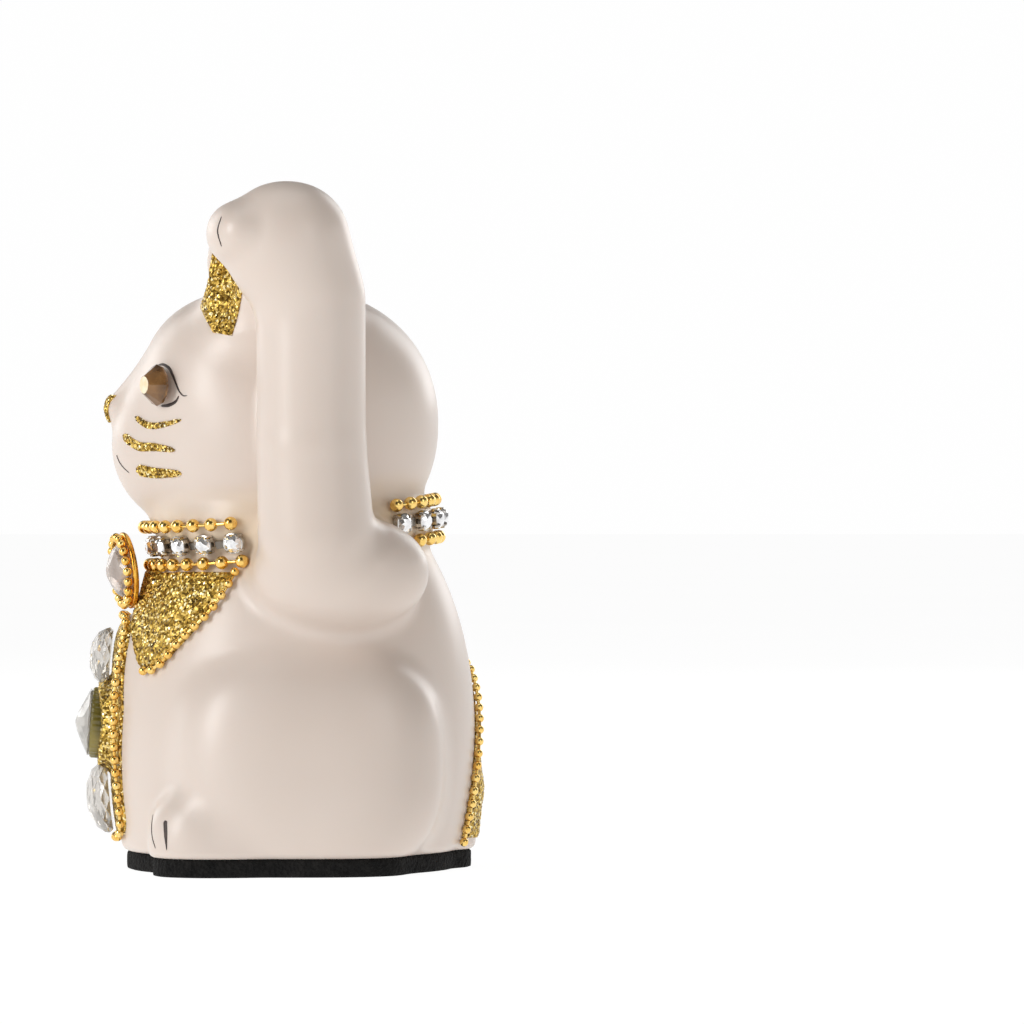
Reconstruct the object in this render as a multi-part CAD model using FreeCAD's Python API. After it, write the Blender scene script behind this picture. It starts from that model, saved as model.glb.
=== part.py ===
import FreeCAD, Part
import math
import os

from FreeCAD import Vector

# Beckoning cat figurine, hollow slip-cast ceramic on a foam pad, with glued chains, stones and glitter.
# Millimetres. +Z is up, the cat faces -Y, and its raised left arm is on +X.
# The origin is the middle of the underside of the pad.

# ---- driving dimensions ----
PAD_TOP = 3.2            # thickness of the foam pad
WALL = 3.0               # wall of the ceramic casting
DRAIN_RADIUS = 6.0       # casting hole in the middle of the base
GLUE_GAP = 0.08          # what keeps a glued piece clear of the ceramic
GLITTER = 0.55           # thickness of a glitter patch
COLLAR_BEAD = 2.4        # diameter of a collar bead
COLLAR_PITCH = 3.8       # from bead to bead
EDGING_BEAD = 1.6        # diameter of an edging bead
EDGING_PITCH = 2.3
CHAIN_WIRE = 0.6         # diameter of the wire between two beads
SHORTEST_LINK = 0.1
CUP_WIDTH = 3.7          # a rhinestone's metal cup
CUP_PITCH = 5.8
CUP_HEIGHT = 1.3
CUP_STANDOFF = 0.6       # a flat-backed cup on a round neck
LINK_PLAY = 0.55         # between a cup and the bar that joins it to the next
EYE_WIDTH = 7.3
PENDANT_WIDTH = 13.6
PENDANT_TILT = 7.0       # degrees that its top leans forward
PENDANT_TURN = 14.0      # degrees that it faces towards the raised arm

# ---- the ceramic form: rounded masses (centre, radii, squareness, lean in degrees) ----
TORSO = ((0, -0.3, 22), (30.4, 32.2, 49.6), 2.05, -2)
CHEST = ((0, -21, 36), (13, 10.7, 10.4), 3.0, 0)
HAUNCH = ((18.6, 2, 19.5), (16.4, 24.0, 21.6), 2.6, 0)
FOOT = ((22.2, -13.8, 6), (10.0, 12.0, 10.6), 2.3, 0)
THROAT = ((0, -32.5, 51.6), (15, 7.6, 6.2), 2.4, 0)    # a hollow under the collar, taken away
NECK = ((0, -0.4, 61.5), (24.4, 25.0, 10), 2.2, 0)
SKULL = ((0, -1.2, 79), (27.0, 26.6, 24.4), 2.15, 0)
BROW = ((0, -8, 85), (24, 19.7, 17.9), 2.2, 0)
MUZZLE = ((0, -20.6, 75.2), (12.9, 12.1, 13.3), 2.0, 0)
ELBOW = ((24.4, 7.7, 52.8), (12.5, 15.4, 10.1), 2.1, 0)
PAW = ((34.2, -1.6, 109.6), (10.8, 11.0, 10.7), 2.1, 0)
TOES = ((34.4, -9.0, 111.2), (9.8, 6.4, 5.8), 2.1, 0)

# ---- and tapering limbs, as stations (x, y, z, radius) ----
NOSE_BRIDGE = [(0, -23.3, 87.0, 4.2), (0, -31.0, 82.0, 2.6)]
EAR = [(14.4, -3.9, 99.6, 12.4), (17.0, -6.1, 107.2, 9.4), (19.4, -10.3, 112.0, 5.2)]
RAISED_ARM = [(31.4, 3.5, 60, 10.1), (32.5, 2.7, 75, 9.4), (33.2, 2.6, 100, 9.4)]
LOWERED_ARM = [(-16.8, 2, 55.5, 6.0), (-23.4, 0, 46.5, 7.0), (-26.6, -3, 38, 7.4),
               (-23, -18.5, 29, 6.2), (-16.5, -25.8, 27, 5.6)]
TAIL = [(-0.5, 23, -6, 8), (-1, 25, 14, 8), (-4.6, 24.6, 24, 7.4), (-9.3, 22.6, 31, 6.8)]

# ---- how softly one mass runs into the next ----
HAUNCH_BLEND = 1.5
FOOT_BLEND = 1.5
ARM_BLEND = 2.0
TAIL_BLEND = 1.5
NECK_BLEND = 2.5
MUZZLE_BLEND = 6.0
NOSE_BLEND = 3.0
EAR_BLEND = 5.0
ELBOW_BLEND = 3.0
PAW_BLEND = 5.0
TOE_BLEND = 1.6
BROW_BLEND = 2.0
CHEST_BLEND = 3.0
THROAT_BLEND = 1.2
LIMB_BLEND = 0.6

# ---- how the form is sampled into smooth sections ----
COLUMNS = 120
HEAD_CENTRE = Vector(0, -2, 82)
LOWEST_CAVITY = PAD_TOP + WALL
COARSE_STEP = 2.8        # between sections of the body
FINE_STEP = 1.4          # across the throat and neck
NECK_LOW = 41.0
NECK_HIGH = 68.0
ELEVATION_STEP = 3.0     # degrees, over the crown
LAST_ELEVATION = 87.0
ARM_LOW = 42.9           # just inside the two rounded ends of the raised arm
ARM_HIGH = 120.2
ARM_SECTIONS = 36


# ======== the shape of the ceramic, as a distance from its skin ========

def blend(a, b, width):
    """The union of two masses with a fillet of about this width."""
    overlap = max(width - abs(a - b), 0.0) / width
    return min(a, b) - overlap * overlap * width / 4


def mass_distance(p, mass, side=1):
    centre, radii, power, lean = mass
    x = p.x - side * centre[0]
    y = p.y - centre[1]
    z = p.z - centre[2]
    if lean:
        turn = math.radians(lean)
        y, z = (math.cos(turn) * y + math.sin(turn) * z, math.cos(turn) * z - math.sin(turn) * y)
    u = [abs(q) / r + 1e-9 for q, r in zip((x, y, z), radii)]
    raised = [q ** (power - 1) for q in u]
    rho = sum(a * b for a, b in zip(raised, u)) ** (1 / power)
    slope = [a / r * rho ** (1 - power) for a, r in zip(raised, radii)]
    return (rho - 1) / math.sqrt(sum(s * s for s in slope))


def limb_distance(p, stations, side=1):
    total = None
    for a, b in zip(stations[:-1], stations[1:]):
        start = Vector(side * a[0], a[1], a[2])
        run = Vector(side * b[0], b[1], b[2]) - start
        along = max(0.0, min(1.0, (p - start).dot(run) / run.dot(run)))
        part = (p - start - run * along).Length - (a[3] + along * (b[3] - a[3]))
        total = part if total is None else blend(total, part, LIMB_BLEND)
    return total


def head_distance(p):
    d = blend(mass_distance(p, SKULL), mass_distance(p, BROW), BROW_BLEND)
    d = blend(d, mass_distance(p, MUZZLE), MUZZLE_BLEND)
    d = blend(d, limb_distance(p, NOSE_BRIDGE), NOSE_BLEND)
    return d


def body_distance(p):
    """Everything but the raised arm, which is a separate lobe beside the head."""
    d = blend(mass_distance(p, TORSO), mass_distance(p, CHEST), CHEST_BLEND)
    d = -blend(-d, mass_distance(p, THROAT), THROAT_BLEND)
    for side in (1, -1):
        d = blend(d, mass_distance(p, HAUNCH, side), HAUNCH_BLEND)
        d = blend(d, mass_distance(p, FOOT, side), FOOT_BLEND)
    d = blend(d, limb_distance(p, LOWERED_ARM), ARM_BLEND)
    d = blend(d, limb_distance(p, TAIL), TAIL_BLEND)
    d = blend(d, mass_distance(p, NECK), NECK_BLEND)
    d = blend(d, head_distance(p), NECK_BLEND)
    ears = min(limb_distance(p, EAR, 1), limb_distance(p, EAR, -1))
    return blend(d, ears, EAR_BLEND)


def raised_arm_distance(p):
    d = blend(limb_distance(p, RAISED_ARM), mass_distance(p, ELBOW), ELBOW_BLEND)
    d = blend(d, mass_distance(p, PAW), PAW_BLEND)
    return blend(d, mass_distance(p, TOES), TOE_BLEND)


def normal_at(p, field):
    step = 0.05
    slope = Vector(field(p + Vector(step, 0, 0)) - field(p - Vector(step, 0, 0)),
                   field(p + Vector(0, step, 0)) - field(p - Vector(0, step, 0)),
                   field(p + Vector(0, 0, step)) - field(p - Vector(0, 0, step)))
    return slope.normalize()


def march(start, direction, field, level, outward):
    """Where a ray crosses the surface at this height above the skin."""
    sign = 1 if outward else -1
    point = Vector(start)
    for _ in range(60):
        gap = sign * (level - field(point))
        point = point + direction * gap * 0.9
        if abs(gap) < 0.003:
            break
    return point


# ======== turning sections into solids ========

def section(points):
    """A closed curve whose knots are evenly numbered, so that neighbouring sections match."""
    curve = Part.BSplineCurve()
    knots = [float(i) for i in range(len(points) + 1)]
    curve.interpolate(Points=points, PeriodicFlag=True, Parameters=knots)
    return Part.Wire([curve.toShape()])


def loft(rings):
    return Part.makeLoft([section(ring) for ring in rings], True, False)


def ring_directions():
    angles = [2 * math.pi * i / COLUMNS for i in range(COLUMNS)]
    return [Vector(math.sin(a), math.cos(a), 0) for a in angles]


def body_heights(lowest):
    heights = []
    z = lowest
    while z < HEAD_CENTRE.z:
        heights.append(z)
        z += FINE_STEP if NECK_LOW < z < NECK_HIGH else COARSE_STEP
    return heights


def body_skin(level, lowest):
    """The body as level rings up to the middle of the head, then rings that close over the crown."""
    rings = []
    for z in body_heights(lowest):
        axis = Vector(HEAD_CENTRE.x, HEAD_CENTRE.y, z)
        rings.append([march(axis, d, body_distance, level, True) for d in ring_directions()])
    elevation = ELEVATION_STEP / 2
    while elevation < LAST_ELEVATION:
        up = math.radians(elevation)
        rays = [d * math.cos(up) + Vector(0, 0, math.sin(up)) for d in ring_directions()]
        rings.append([march(HEAD_CENTRE, ray, body_distance, level, True) for ray in rays])
        elevation += ELEVATION_STEP
    crown = march(HEAD_CENTRE, Vector(0, 0, 1), body_distance, level, True)
    last_radius = math.tan(math.radians(90 - LAST_ELEVATION)) * (crown.z - HEAD_CENTRE.z)
    rings.append([crown + d * last_radius for d in ring_directions()])
    return loft(rings)


def arm_axis(z):
    """A line up the middle of the raised arm, from the elbow to the top of the paw."""
    spots = [Vector(24.5, 7.5, 43), Vector(32.0, 3.2, 66), Vector(33.2, 2.6, 98), Vector(34.2, -3.0, 111),
             Vector(34.2, -1.7, 120.3)]
    for low, high in zip(spots[:-1], spots[1:]):
        if z <= high.z:
            break
    return low + (high - low) * ((z - low.z) / (high.z - low.z))


def raised_arm():
    rings = []
    for i in range(ARM_SECTIONS + 1):
        # the sections crowd together towards both rounded ends
        z = ARM_LOW + (ARM_HIGH - ARM_LOW) * (0.5 - 0.5 * math.cos(math.pi * i / ARM_SECTIONS))
        axis = arm_axis(z)
        rings.append([march(axis, d, raised_arm_distance, 0, True) for d in ring_directions()])
    return loft(rings)


def ceramic_shell():
    outside = body_skin(0, PAD_TOP).fuse(raised_arm())
    cavity = body_skin(-WALL, LOWEST_CAVITY)
    drain = Part.makeCylinder(DRAIN_RADIUS, 2 * WALL, Vector(0, 0, PAD_TOP - 1))
    return outside.cut(cavity).cut(drain)


# ======== pieces of the pad and the trim ========

def base_pad():
    """A foam sheet cut to the figure's footprint: a rounded back, and a tongue between the two feet."""
    inset = 0.6
    ring = [march(Vector(0, -2, PAD_TOP + 0.01), d, body_distance, -inset, True) for d in ring_directions()]
    outline = section([Vector(p.x, p.y, 0) for p in ring])
    return Part.Face(outline).extrude(Vector(0, 0, PAD_TOP))


def patch(point_at, rows, columns, field=body_distance, thickness=GLITTER, bevel=0.3):
    """A thin layer that follows the skin. point_at(u, v) gives where each spot is aimed from and to."""
    under, over = [], []
    for i in range(rows):
        under_row, over_row = [], []
        for j in range(columns):
            foot = point_at(i / (rows - 1), j / (columns - 1))
            up = normal_at(foot, field)
            at_edge = i in (0, rows - 1) or j in (0, columns - 1)
            under_row.append(foot + up * GLUE_GAP)
            over_row.append(foot + up * (GLUE_GAP + (thickness * (1 - bevel) if at_edge else thickness)))
        under.append(under_row)
        over.append(over_row)
    low, high = Part.BSplineSurface(), Part.BSplineSurface()
    low.interpolate(under)
    high.interpolate(over)
    low_face, high_face = low.toShape(), high.toShape()
    faces = [low_face, high_face]
    ends = [(low.uIso, high.uIso, low.bounds()[0], high.bounds()[0]),
            (low.uIso, high.uIso, low.bounds()[1], high.bounds()[1]),
            (low.vIso, high.vIso, low.bounds()[2], high.bounds()[2]),
            (low.vIso, high.vIso, low.bounds()[3], high.bounds()[3])]
    for low_iso, high_iso, low_at, high_at in ends:
        faces.append(Part.makeRuledSurface(low_iso(low_at).toShape(), high_iso(high_at).toShape()))
    shell = Part.makeShell(faces)
    shell.sewShape()
    solid = Part.makeSolid(Part.Shell(shell.Faces))
    if solid.Volume < 0:
        solid.reverse()
    return solid


def from_front(x, z):
    return march(Vector(x, -60, z), Vector(0, 1, 0), body_distance, 0, False)


def from_back(x, z):
    return march(Vector(x, 60, z), Vector(0, -1, 0), body_distance, 0, False)


def from_side(y, z, side):
    """A spot on the left (side 1) or right (side -1), aimed straight in."""
    return march(Vector(60 * side, y, z), Vector(-side, 0, 0), body_distance, 0, False)


def from_axis(angle, z, height=0):
    """A spot at this level, looking out from the axis. -90 degrees is the front, 0 is +X."""
    a = math.radians(angle)
    return march(Vector(0, -2, z), Vector(math.cos(a), math.sin(a), 0), body_distance, height, True)


def mirrored(angle, side):
    return angle if side > 0 else -180 - angle


def along(points, t):
    """A point part of the way along a list, as a smooth curve through it."""
    curve = Part.BSplineCurve()
    curve.interpolate([Vector(*p) for p in points])
    return curve.value(curve.FirstParameter + t * (curve.LastParameter - curve.FirstParameter))


def walk(points, pitch, closed=False):
    """Stations at an even pitch along a smooth line through these points, with the direction at each."""
    curve = Part.BSplineCurve()
    curve.interpolate(Points=points, PeriodicFlag=closed)
    length = curve.length()
    count = max(2, round(length / pitch))
    stations = []
    for i in range(count if closed else count + 1):
        at = curve.parameterAtDistance(length * i / count, curve.FirstParameter)
        stations.append((curve.value(at), Vector(*curve.tangent(at)[0])))
    return stations


def ball_chain(stations, bead, closed=False):
    """Solid beads, and the short wires that join them face to face."""
    radius = bead / 2
    beads = [Part.makeSphere(radius, p) for p, _ in stations]
    joined = list(zip(stations[:-1], stations[1:]))
    if closed:
        joined.append((stations[-1], stations[0]))
    wires = []
    for (a, _), (b, _) in joined:
        run = (b - a).normalize()
        gap = (b - a).Length - bead
        if gap > SHORTEST_LINK:
            wires.append(Part.makeCylinder(CHAIN_WIRE / 2, gap, a + run * radius, run))
    return Part.makeCompound(beads), Part.makeCompound(wires)


def glued_line(spots, height, field=body_distance):
    return [p + normal_at(p, field) * height for p in spots]


# ---- collar ----

# each strand: its height at the front, and the angles where it starts and ends beside the raised arm
UPPER_STRAND = (60.6, -21.4, -314.0)
CUP_STRAND = (57.3, -21.0, -312.0)
LOWER_STRAND = (53.9, -17.7, -300.0)
COLLAR_RISE = 5.0         # how much higher the collar sits at the back than at the front
COLLAR_CURVE = 1.7        # how late it rises on the way round
COLLAR_SPOTS = 60


def collar_line(strand, height):
    """A line round the neck at this height above the skin."""
    front, start, end = strand
    spots = []
    for i in range(COLLAR_SPOTS + 1):
        angle = start + (end - start) * i / COLLAR_SPOTS
        towards_back = 0.5 + 0.5 * math.sin(math.radians(angle))
        spots.append(from_axis(angle, front + COLLAR_RISE * towards_back ** COLLAR_CURVE, height))
    return spots


def collar_strand(strand):
    line = collar_line(strand, COLLAR_BEAD / 2 + GLUE_GAP)
    return ball_chain(walk(line, COLLAR_PITCH), COLLAR_BEAD)


def facing(shape, place, out, along_line):
    """Set a piece built on +Z so that +Z points out and +X runs along the line."""
    out = Vector(out).normalize()
    across = out.cross(along_line).normalize()
    forward = across.cross(out)
    shape.Placement = FreeCAD.Placement(place, FreeCAD.Rotation(forward, across, out, "ZXY"))
    return shape


CUP_FLOOR = 0.3
SEAT_BOTTOM = 0.65        # radius of the seat at the cup's floor
SEAT_TOP = 1.6            # and at its rim
PRONGS = 4
PRONG_RADIUS = 0.28
PRONG_INSET = 0.12        # a prong's axis inside the cup's wall
PRONG_RISE = 0.45         # above the rim
STONE_RADIUS = 1.39
STONE_POINT = 0.42        # height of its point above the cup's back
STONE_SHOULDER = 0.8      # height of the break in its lower cone
STONE_TABLE = 1.95        # height of its flat top
BAR_WIDTH = 1.4           # the bar between two cups
BAR_THICKNESS = 0.5
BAR_LIFT = 0.15


def cup():
    """A round metal cup with four prongs over the stone."""
    body = Part.makeCylinder(CUP_WIDTH / 2, CUP_HEIGHT)
    seat = Part.makeCone(SEAT_BOTTOM, SEAT_TOP, CUP_HEIGHT - CUP_FLOOR, Vector(0, 0, CUP_FLOOR))
    body = body.cut(seat)
    for i in range(PRONGS):
        a = 2 * math.pi * (i + 0.5) / PRONGS
        spot = Vector(math.cos(a), math.sin(a), 0) * (CUP_WIDTH / 2 - PRONG_INSET)
        body = body.fuse(Part.makeCylinder(PRONG_RADIUS, CUP_HEIGHT + PRONG_RISE, spot))
    return body


def rhinestone():
    """A cone below, a crown above and a flat table, sitting inside its cup."""
    outline = [Vector(0, 0, STONE_POINT), Vector(STONE_RADIUS * 0.55, 0, STONE_SHOULDER),
               Vector(STONE_RADIUS, 0, CUP_HEIGHT + 0.02), Vector(STONE_RADIUS * 0.6, 0, STONE_TABLE),
               Vector(0, 0, STONE_TABLE), Vector(0, 0, STONE_POINT)]
    face = Part.Face(Part.makePolygon(outline))
    return face.revolve(Vector(0, 0, 0), Vector(0, 0, 1), 360)


def cup_chain():
    stations = walk(collar_line(CUP_STRAND, CUP_STANDOFF), CUP_PITCH)
    cups, stones, links = [], [], []
    for place, run in stations:
        out = normal_at(place, body_distance)
        out.z *= 0.4
        cups.append(facing(cup(), place, out, run))
        stones.append(facing(rhinestone(), place, out, run))
    for (a, _), (b, _) in zip(stations[:-1], stations[1:]):
        run = (b - a).normalize()
        gap = (b - a).Length - CUP_WIDTH - LINK_PLAY
        link = Part.makeBox(gap, BAR_WIDTH, BAR_THICKNESS, Vector(-gap / 2, -BAR_WIDTH / 2, BAR_LIFT))
        middle = (a + b) * 0.5
        links.append(facing(link, middle, normal_at(middle, body_distance), run))
    return Part.makeCompound(cups), Part.makeCompound(stones), Part.makeCompound(links)


# ---- bandana: two glitter halves that meet under the pendant ----

BIB_TOP = [(-89.4, 52.5), (-66, 52.5), (-44, 52.7), (-23.4, 53.0)]
BIB_MIDDLE = [(-89.4, 50.9), (-74, 48.6), (-54, 46.6), (-33.0, 46.2)]
BIB_BOTTOM = [(-89.4, 49.2), (-80, 47.6), (-72, 43.8), (-65, 40.4), (-60, 37.6), (-54.5, 36.9), (-48.8, 38.2)]
BIB_EDGE = [(-20.5, 52.5), (-23.6, 49.4), (-29.0, 45.5), (-35.5, 42.4), (-41.5, 39.5), (-46.0, 37.0),
            (-50.5, 35.6), (-55.5, 35.3)]


def flat(points):
    """(angle, height) pairs as points of a flat curve."""
    return [(angle, height, 0) for angle, height in points]


def bib_point(side):
    """The top edge follows the collar. The lower edge drops from the middle to a point beside the belly."""
    def spot(u, v):
        edges = [along(flat(edge), u) for edge in (BIB_TOP, BIB_MIDDLE, BIB_BOTTOM)]
        mixed = along([(e.x, e.y, 0) for e in edges], v)
        return from_axis(mirrored(mixed.x, side), mixed.y)
    return spot


def bib_edging_line(side):
    """Beads run down the outer edge and round the point."""
    spots = [from_axis(mirrored(angle, side), z) for angle, z in BIB_EDGE]
    return glued_line(spots, EDGING_BEAD / 2 + GLUE_GAP)


# ---- belly ----

BELLY_LOW = 5.9
BELLY_HIGH = 44.3
BELLY_HALF = 9.5
BELLY_CORNER = 4.5
BELLY_EDGE = 0.9         # the panel stops this far inside its border
BORDER_GAP = 0.4         # the border runs this far outside the panel's nominal width


def rounded(x_half, low, high, corner, steps=6):
    """The outline of an upright rounded rectangle, as (x, z) points."""
    points = []
    corners = [(x_half - corner, high - corner, 0), (-x_half + corner, high - corner, 90),
               (-x_half + corner, low + corner, 180), (x_half - corner, low + corner, 270)]
    for cx, cz, first in corners:
        for i in range(steps + 1):
            a = math.radians(first + 90 * i / steps)
            points.append((cx + corner * math.cos(a), cz + corner * math.sin(a)))
    return points


def belly_point(u, v):
    z = BELLY_LOW + BELLY_EDGE + v * (BELLY_HIGH - BELLY_LOW - 2 * BELLY_EDGE)
    near_end = max(0.0, BELLY_CORNER - min(z - BELLY_LOW, BELLY_HIGH - z)) / BELLY_CORNER
    half = BELLY_HALF - BELLY_EDGE - BELLY_CORNER * (1 - math.sqrt(1 - near_end * near_end))
    return from_front((2 * u - 1) * half, z)


def belly_edging_line():
    outline = rounded(BELLY_HALF + BORDER_GAP, BELLY_LOW, BELLY_HIGH, BELLY_CORNER)
    spots = [from_front(x, z) for x, z in outline]
    return glued_line(spots, EDGING_BEAD / 2 + GLUE_GAP)


def revolve_on(profile, place, out):
    """A turned piece whose axis points out of the skin. The profile is (radius, height) points."""
    outline = [Vector(0, 0, profile[0][1])]
    outline += [Vector(r, 0, h) for r, h in profile]
    outline += [Vector(0, 0, profile[-1][1]), outline[0]]
    clean = [outline[0]]
    for p in outline[1:]:
        if (p - clean[-1]).Length > 1e-6:
            clean.append(p)
    solid = Part.Face(Part.makePolygon(clean)).revolve(Vector(0, 0, 0), Vector(0, 0, 1), 360)
    return facing(solid, place, out, Vector(1, 0, 0))


def on_belly(z, lift):
    p = from_front(0, z)
    out = normal_at(p, body_distance)
    return p + out * (GLUE_GAP + GLITTER + lift), out


def domed(radius, girdle, height):
    """A clear stone: a short wall, then a faceted-looking dome with a flat table."""
    return [(radius * 0.92, 0), (radius, girdle), (radius * 0.82, girdle + 0.45 * height),
            (radius * 0.5, girdle + 0.8 * height), (radius * 0.28, girdle + height)]


# each stone: height of its centre, radius, girdle, and dome above the girdle
UPPER_STONE = (37.5, 5.15, 1.5, 2.3)
MIDDLE_STONE = (25.6, 6.0, 0.4, 2.4)
LOWER_STONE = (12.7, 6.4, 1.6, 2.6)
STONE_GLUE = 0.15        # between a belly stone and the glitter
BASE_GLUE = 0.45         # the wide disc bridges a slight hollow
BASE_RADIUS = 6.3        # the thick disc under the middle stone
BASE_THICKNESS = 2.9
BASE_BEVEL = 0.4


def belly_crystal(stone, lift=STONE_GLUE):
    z, radius, girdle, height = stone
    place, out = on_belly(z, lift)
    return revolve_on(domed(radius, girdle, height), place, out)


def belly_crystal_base():
    place, out = on_belly(MIDDLE_STONE[0], BASE_GLUE)
    profile = [(BASE_RADIUS, 0), (BASE_RADIUS, BASE_THICKNESS - BASE_BEVEL),
               (BASE_RADIUS - BASE_BEVEL, BASE_THICKNESS)]
    return revolve_on(profile, place, out)


def middle_crystal():
    """A stone cut to a point, standing on the disc."""
    z, radius, girdle, height = MIDDLE_STONE
    place, out = on_belly(z, BASE_GLUE + BASE_THICKNESS + GLUE_GAP)
    profile = [(radius * 0.95, 0), (radius, girdle / 2), (radius, girdle),
               (radius * 0.5, girdle + 0.62 * height), (radius * 0.06, girdle + height)]
    return revolve_on(profile, place, out)


# ---- pendant ----

PENDANT_CENTRE = Vector(4.3, -30.3, 52.9)   # the middle of the casting's front
PENDANT_BACK = 1.2       # thickness of the gold casting
PENDANT_BEVEL = 0.3
PENDANT_BEADS = 1.85     # pitch of the beads round its rim
PENDANT_PLAY = 0.15      # between the beads and the stone inside them
PENDANT_GIRDLE = 0.9
PENDANT_DOME = 2.2       # height of the stone above its girdle


def pendant_out():
    tilt = math.radians(PENDANT_TILT)
    turn = math.radians(PENDANT_TURN)
    return Vector(math.sin(turn) * math.cos(tilt), -math.cos(turn) * math.cos(tilt), -math.sin(tilt))


def pendant_backing():
    radius = PENDANT_WIDTH / 2
    profile = [(radius - PENDANT_BEVEL, -PENDANT_BACK), (radius, PENDANT_BEVEL - PENDANT_BACK), (radius, 0)]
    return revolve_on(profile, PENDANT_CENTRE, pendant_out())


def pendant_rim():
    radius = PENDANT_WIDTH / 2 - EDGING_BEAD / 2
    out = pendant_out()
    side = Vector(0, 0, 1).cross(out).normalize()
    up = out.cross(side)
    count = round(2 * math.pi * radius / PENDANT_BEADS)
    beads = []
    for i in range(count):
        a = 2 * math.pi * i / count
        spot = PENDANT_CENTRE + side * radius * math.cos(a) + up * radius * math.sin(a)
        beads.append(Part.makeSphere(EDGING_BEAD / 2, spot + out * (EDGING_BEAD / 2 + GLUE_GAP)))
    return Part.makeCompound(beads)


def pendant_crystal():
    radius = PENDANT_WIDTH / 2 - EDGING_BEAD - PENDANT_PLAY
    place = PENDANT_CENTRE + pendant_out() * GLUE_GAP
    return revolve_on(domed(radius, PENDANT_GIRDLE, PENDANT_DOME), place, pendant_out())


# ---- face ----

EYE_HEIGHT = 85.5
EYE_ANGLE = -51.0        # degrees round the head's axis, for the left eye
EYE_FACING = -60.0       # the stone looks a little further forward than the cheek under it
EYE_STANDOFF = 1.1       # so only its outer edge comes near the cheek
EYE_GIRDLE = 0.5
EYE_DEPTH = 3.0
EYE_TABLE = 1.6          # radius of the flat at its narrow end


def eye_crystal(side):
    foot = from_axis(mirrored(EYE_ANGLE, side), EYE_HEIGHT)
    facing_angle = math.radians(mirrored(EYE_FACING, side))
    out = Vector(math.cos(facing_angle), math.sin(facing_angle), 0)
    radius = EYE_WIDTH / 2
    profile = [(radius * 0.97, 0), (radius, EYE_GIRDLE), (EYE_TABLE, EYE_DEPTH)]
    return revolve_on(profile, foot + out * EYE_STANDOFF, out)


# each whisker: its middle line as (y, z) seen from the side, and its width
WHISKERS = {"upper": ([(-28.2, 79.9), (-25.7, 78.5), (-22.8, 78.7), (-20.0, 79.4)], 1.1),
            "middle": ([(-30.4, 76.7), (-27.6, 74.9), (-24.7, 74.7), (-21.1, 74.1)], 1.5),
            "lower": ([(-28.0, 70.8), (-24.7, 70.2), (-21.9, 70.1), (-20.0, 70.0)], 1.7)}
WHISKER_TAPER = 0.6      # how much of its width it has lost at its outer end
WHISKER_THICKNESS = 0.4
NOSE_THICKNESS = 0.5
STROKE_BEVEL = 0.5       # how much thinner a small stroke is at its rim


def whisker(side, name):
    """A stroke of glitter glue that thins towards its outer end."""
    line, width = WHISKERS[name]

    def spot(u, v):
        centre = along(flat(line), u)
        half = width / 2 * (1 - WHISKER_TAPER * u * u)
        return from_side(centre.x, centre.y + (2 * v - 1) * half, side)
    return patch(spot, 14, 4, thickness=WHISKER_THICKNESS, bevel=STROKE_BEVEL)


NOSE_LOW = 79.3
NOSE_HIGH = 84.0
NOSE_HALF = 2.1          # at its top; it narrows downwards


def nose_glitter():
    def spot(u, v):
        half = NOSE_HALF * (0.5 + 0.5 * v)
        return from_front((2 * u - 1) * half, NOSE_LOW + (NOSE_HIGH - NOSE_LOW) * v)
    return patch(spot, 6, 6, thickness=NOSE_THICKNESS, bevel=STROKE_BEVEL)


EAR_AXIS = (16.0, -5.0)  # an upright line inside the left ear
EAR_INNER = [(-60, 94.6), (-76, 97.4), (-93, 100.4), (-82, 103.6), (-74, 107.2), (-66, 110.8)]
EAR_OUTER = [(-38, 94.0), (-32, 97.4), (-27, 100.8), (-24, 104.4), (-30, 108.2), (-50, 111.4)]


def ear_glitter(side):
    """A patch in the front of the ear that trails down beside the cheek."""
    def spot(u, v):
        inner = along(flat(EAR_INNER), v)
        outer = along(flat(EAR_OUTER), v)
        aim = inner + (outer - inner) * u
        a = math.radians(mirrored(aim.x, side))
        start = Vector(side * EAR_AXIS[0], EAR_AXIS[1], aim.y)
        return march(start, Vector(math.cos(a), math.sin(a), 0), body_distance, 0, True)
    return patch(spot, 8, 13)


# ---- tail ----

TAIL_MIDDLE = [(0.1, 5.2), (-0.2, 12.0), (-2.2, 20.0), (-6.0, 27.5), (-10.4, 33.2)]
TAIL_HALF = [6.3, 6.3, 6.0, 5.4, 3.6]
TAIL_STEP = 0.02         # how far either side of a spot its direction is taken
TAIL_FILL = 0.9          # the glitter's half width, as a share of the tail's
TAIL_BORDER = 1.06       # and the border's
TAIL_SPOTS = 10
TAIL_TIP = (-1.6, 2.6)   # the border's last spot, beyond the middle line's end


def tail_edge(v, sideways):
    middle = along([(x, 0, z) for x, z in TAIL_MIDDLE], v)
    before = along([(x, 0, z) for x, z in TAIL_MIDDLE], max(0.0, v - TAIL_STEP))
    after = along([(x, 0, z) for x, z in TAIL_MIDDLE], min(1.0, v + TAIL_STEP))
    run = (after - before).normalize()
    half = along([(h, i, 0) for i, h in enumerate(TAIL_HALF)], v).x
    return middle.x + run.z * half * sideways, middle.z - run.x * half * sideways


def tail_point(u, v):
    x, z = tail_edge(v, (2 * u - 1) * TAIL_FILL)
    return from_back(x, z)


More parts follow.
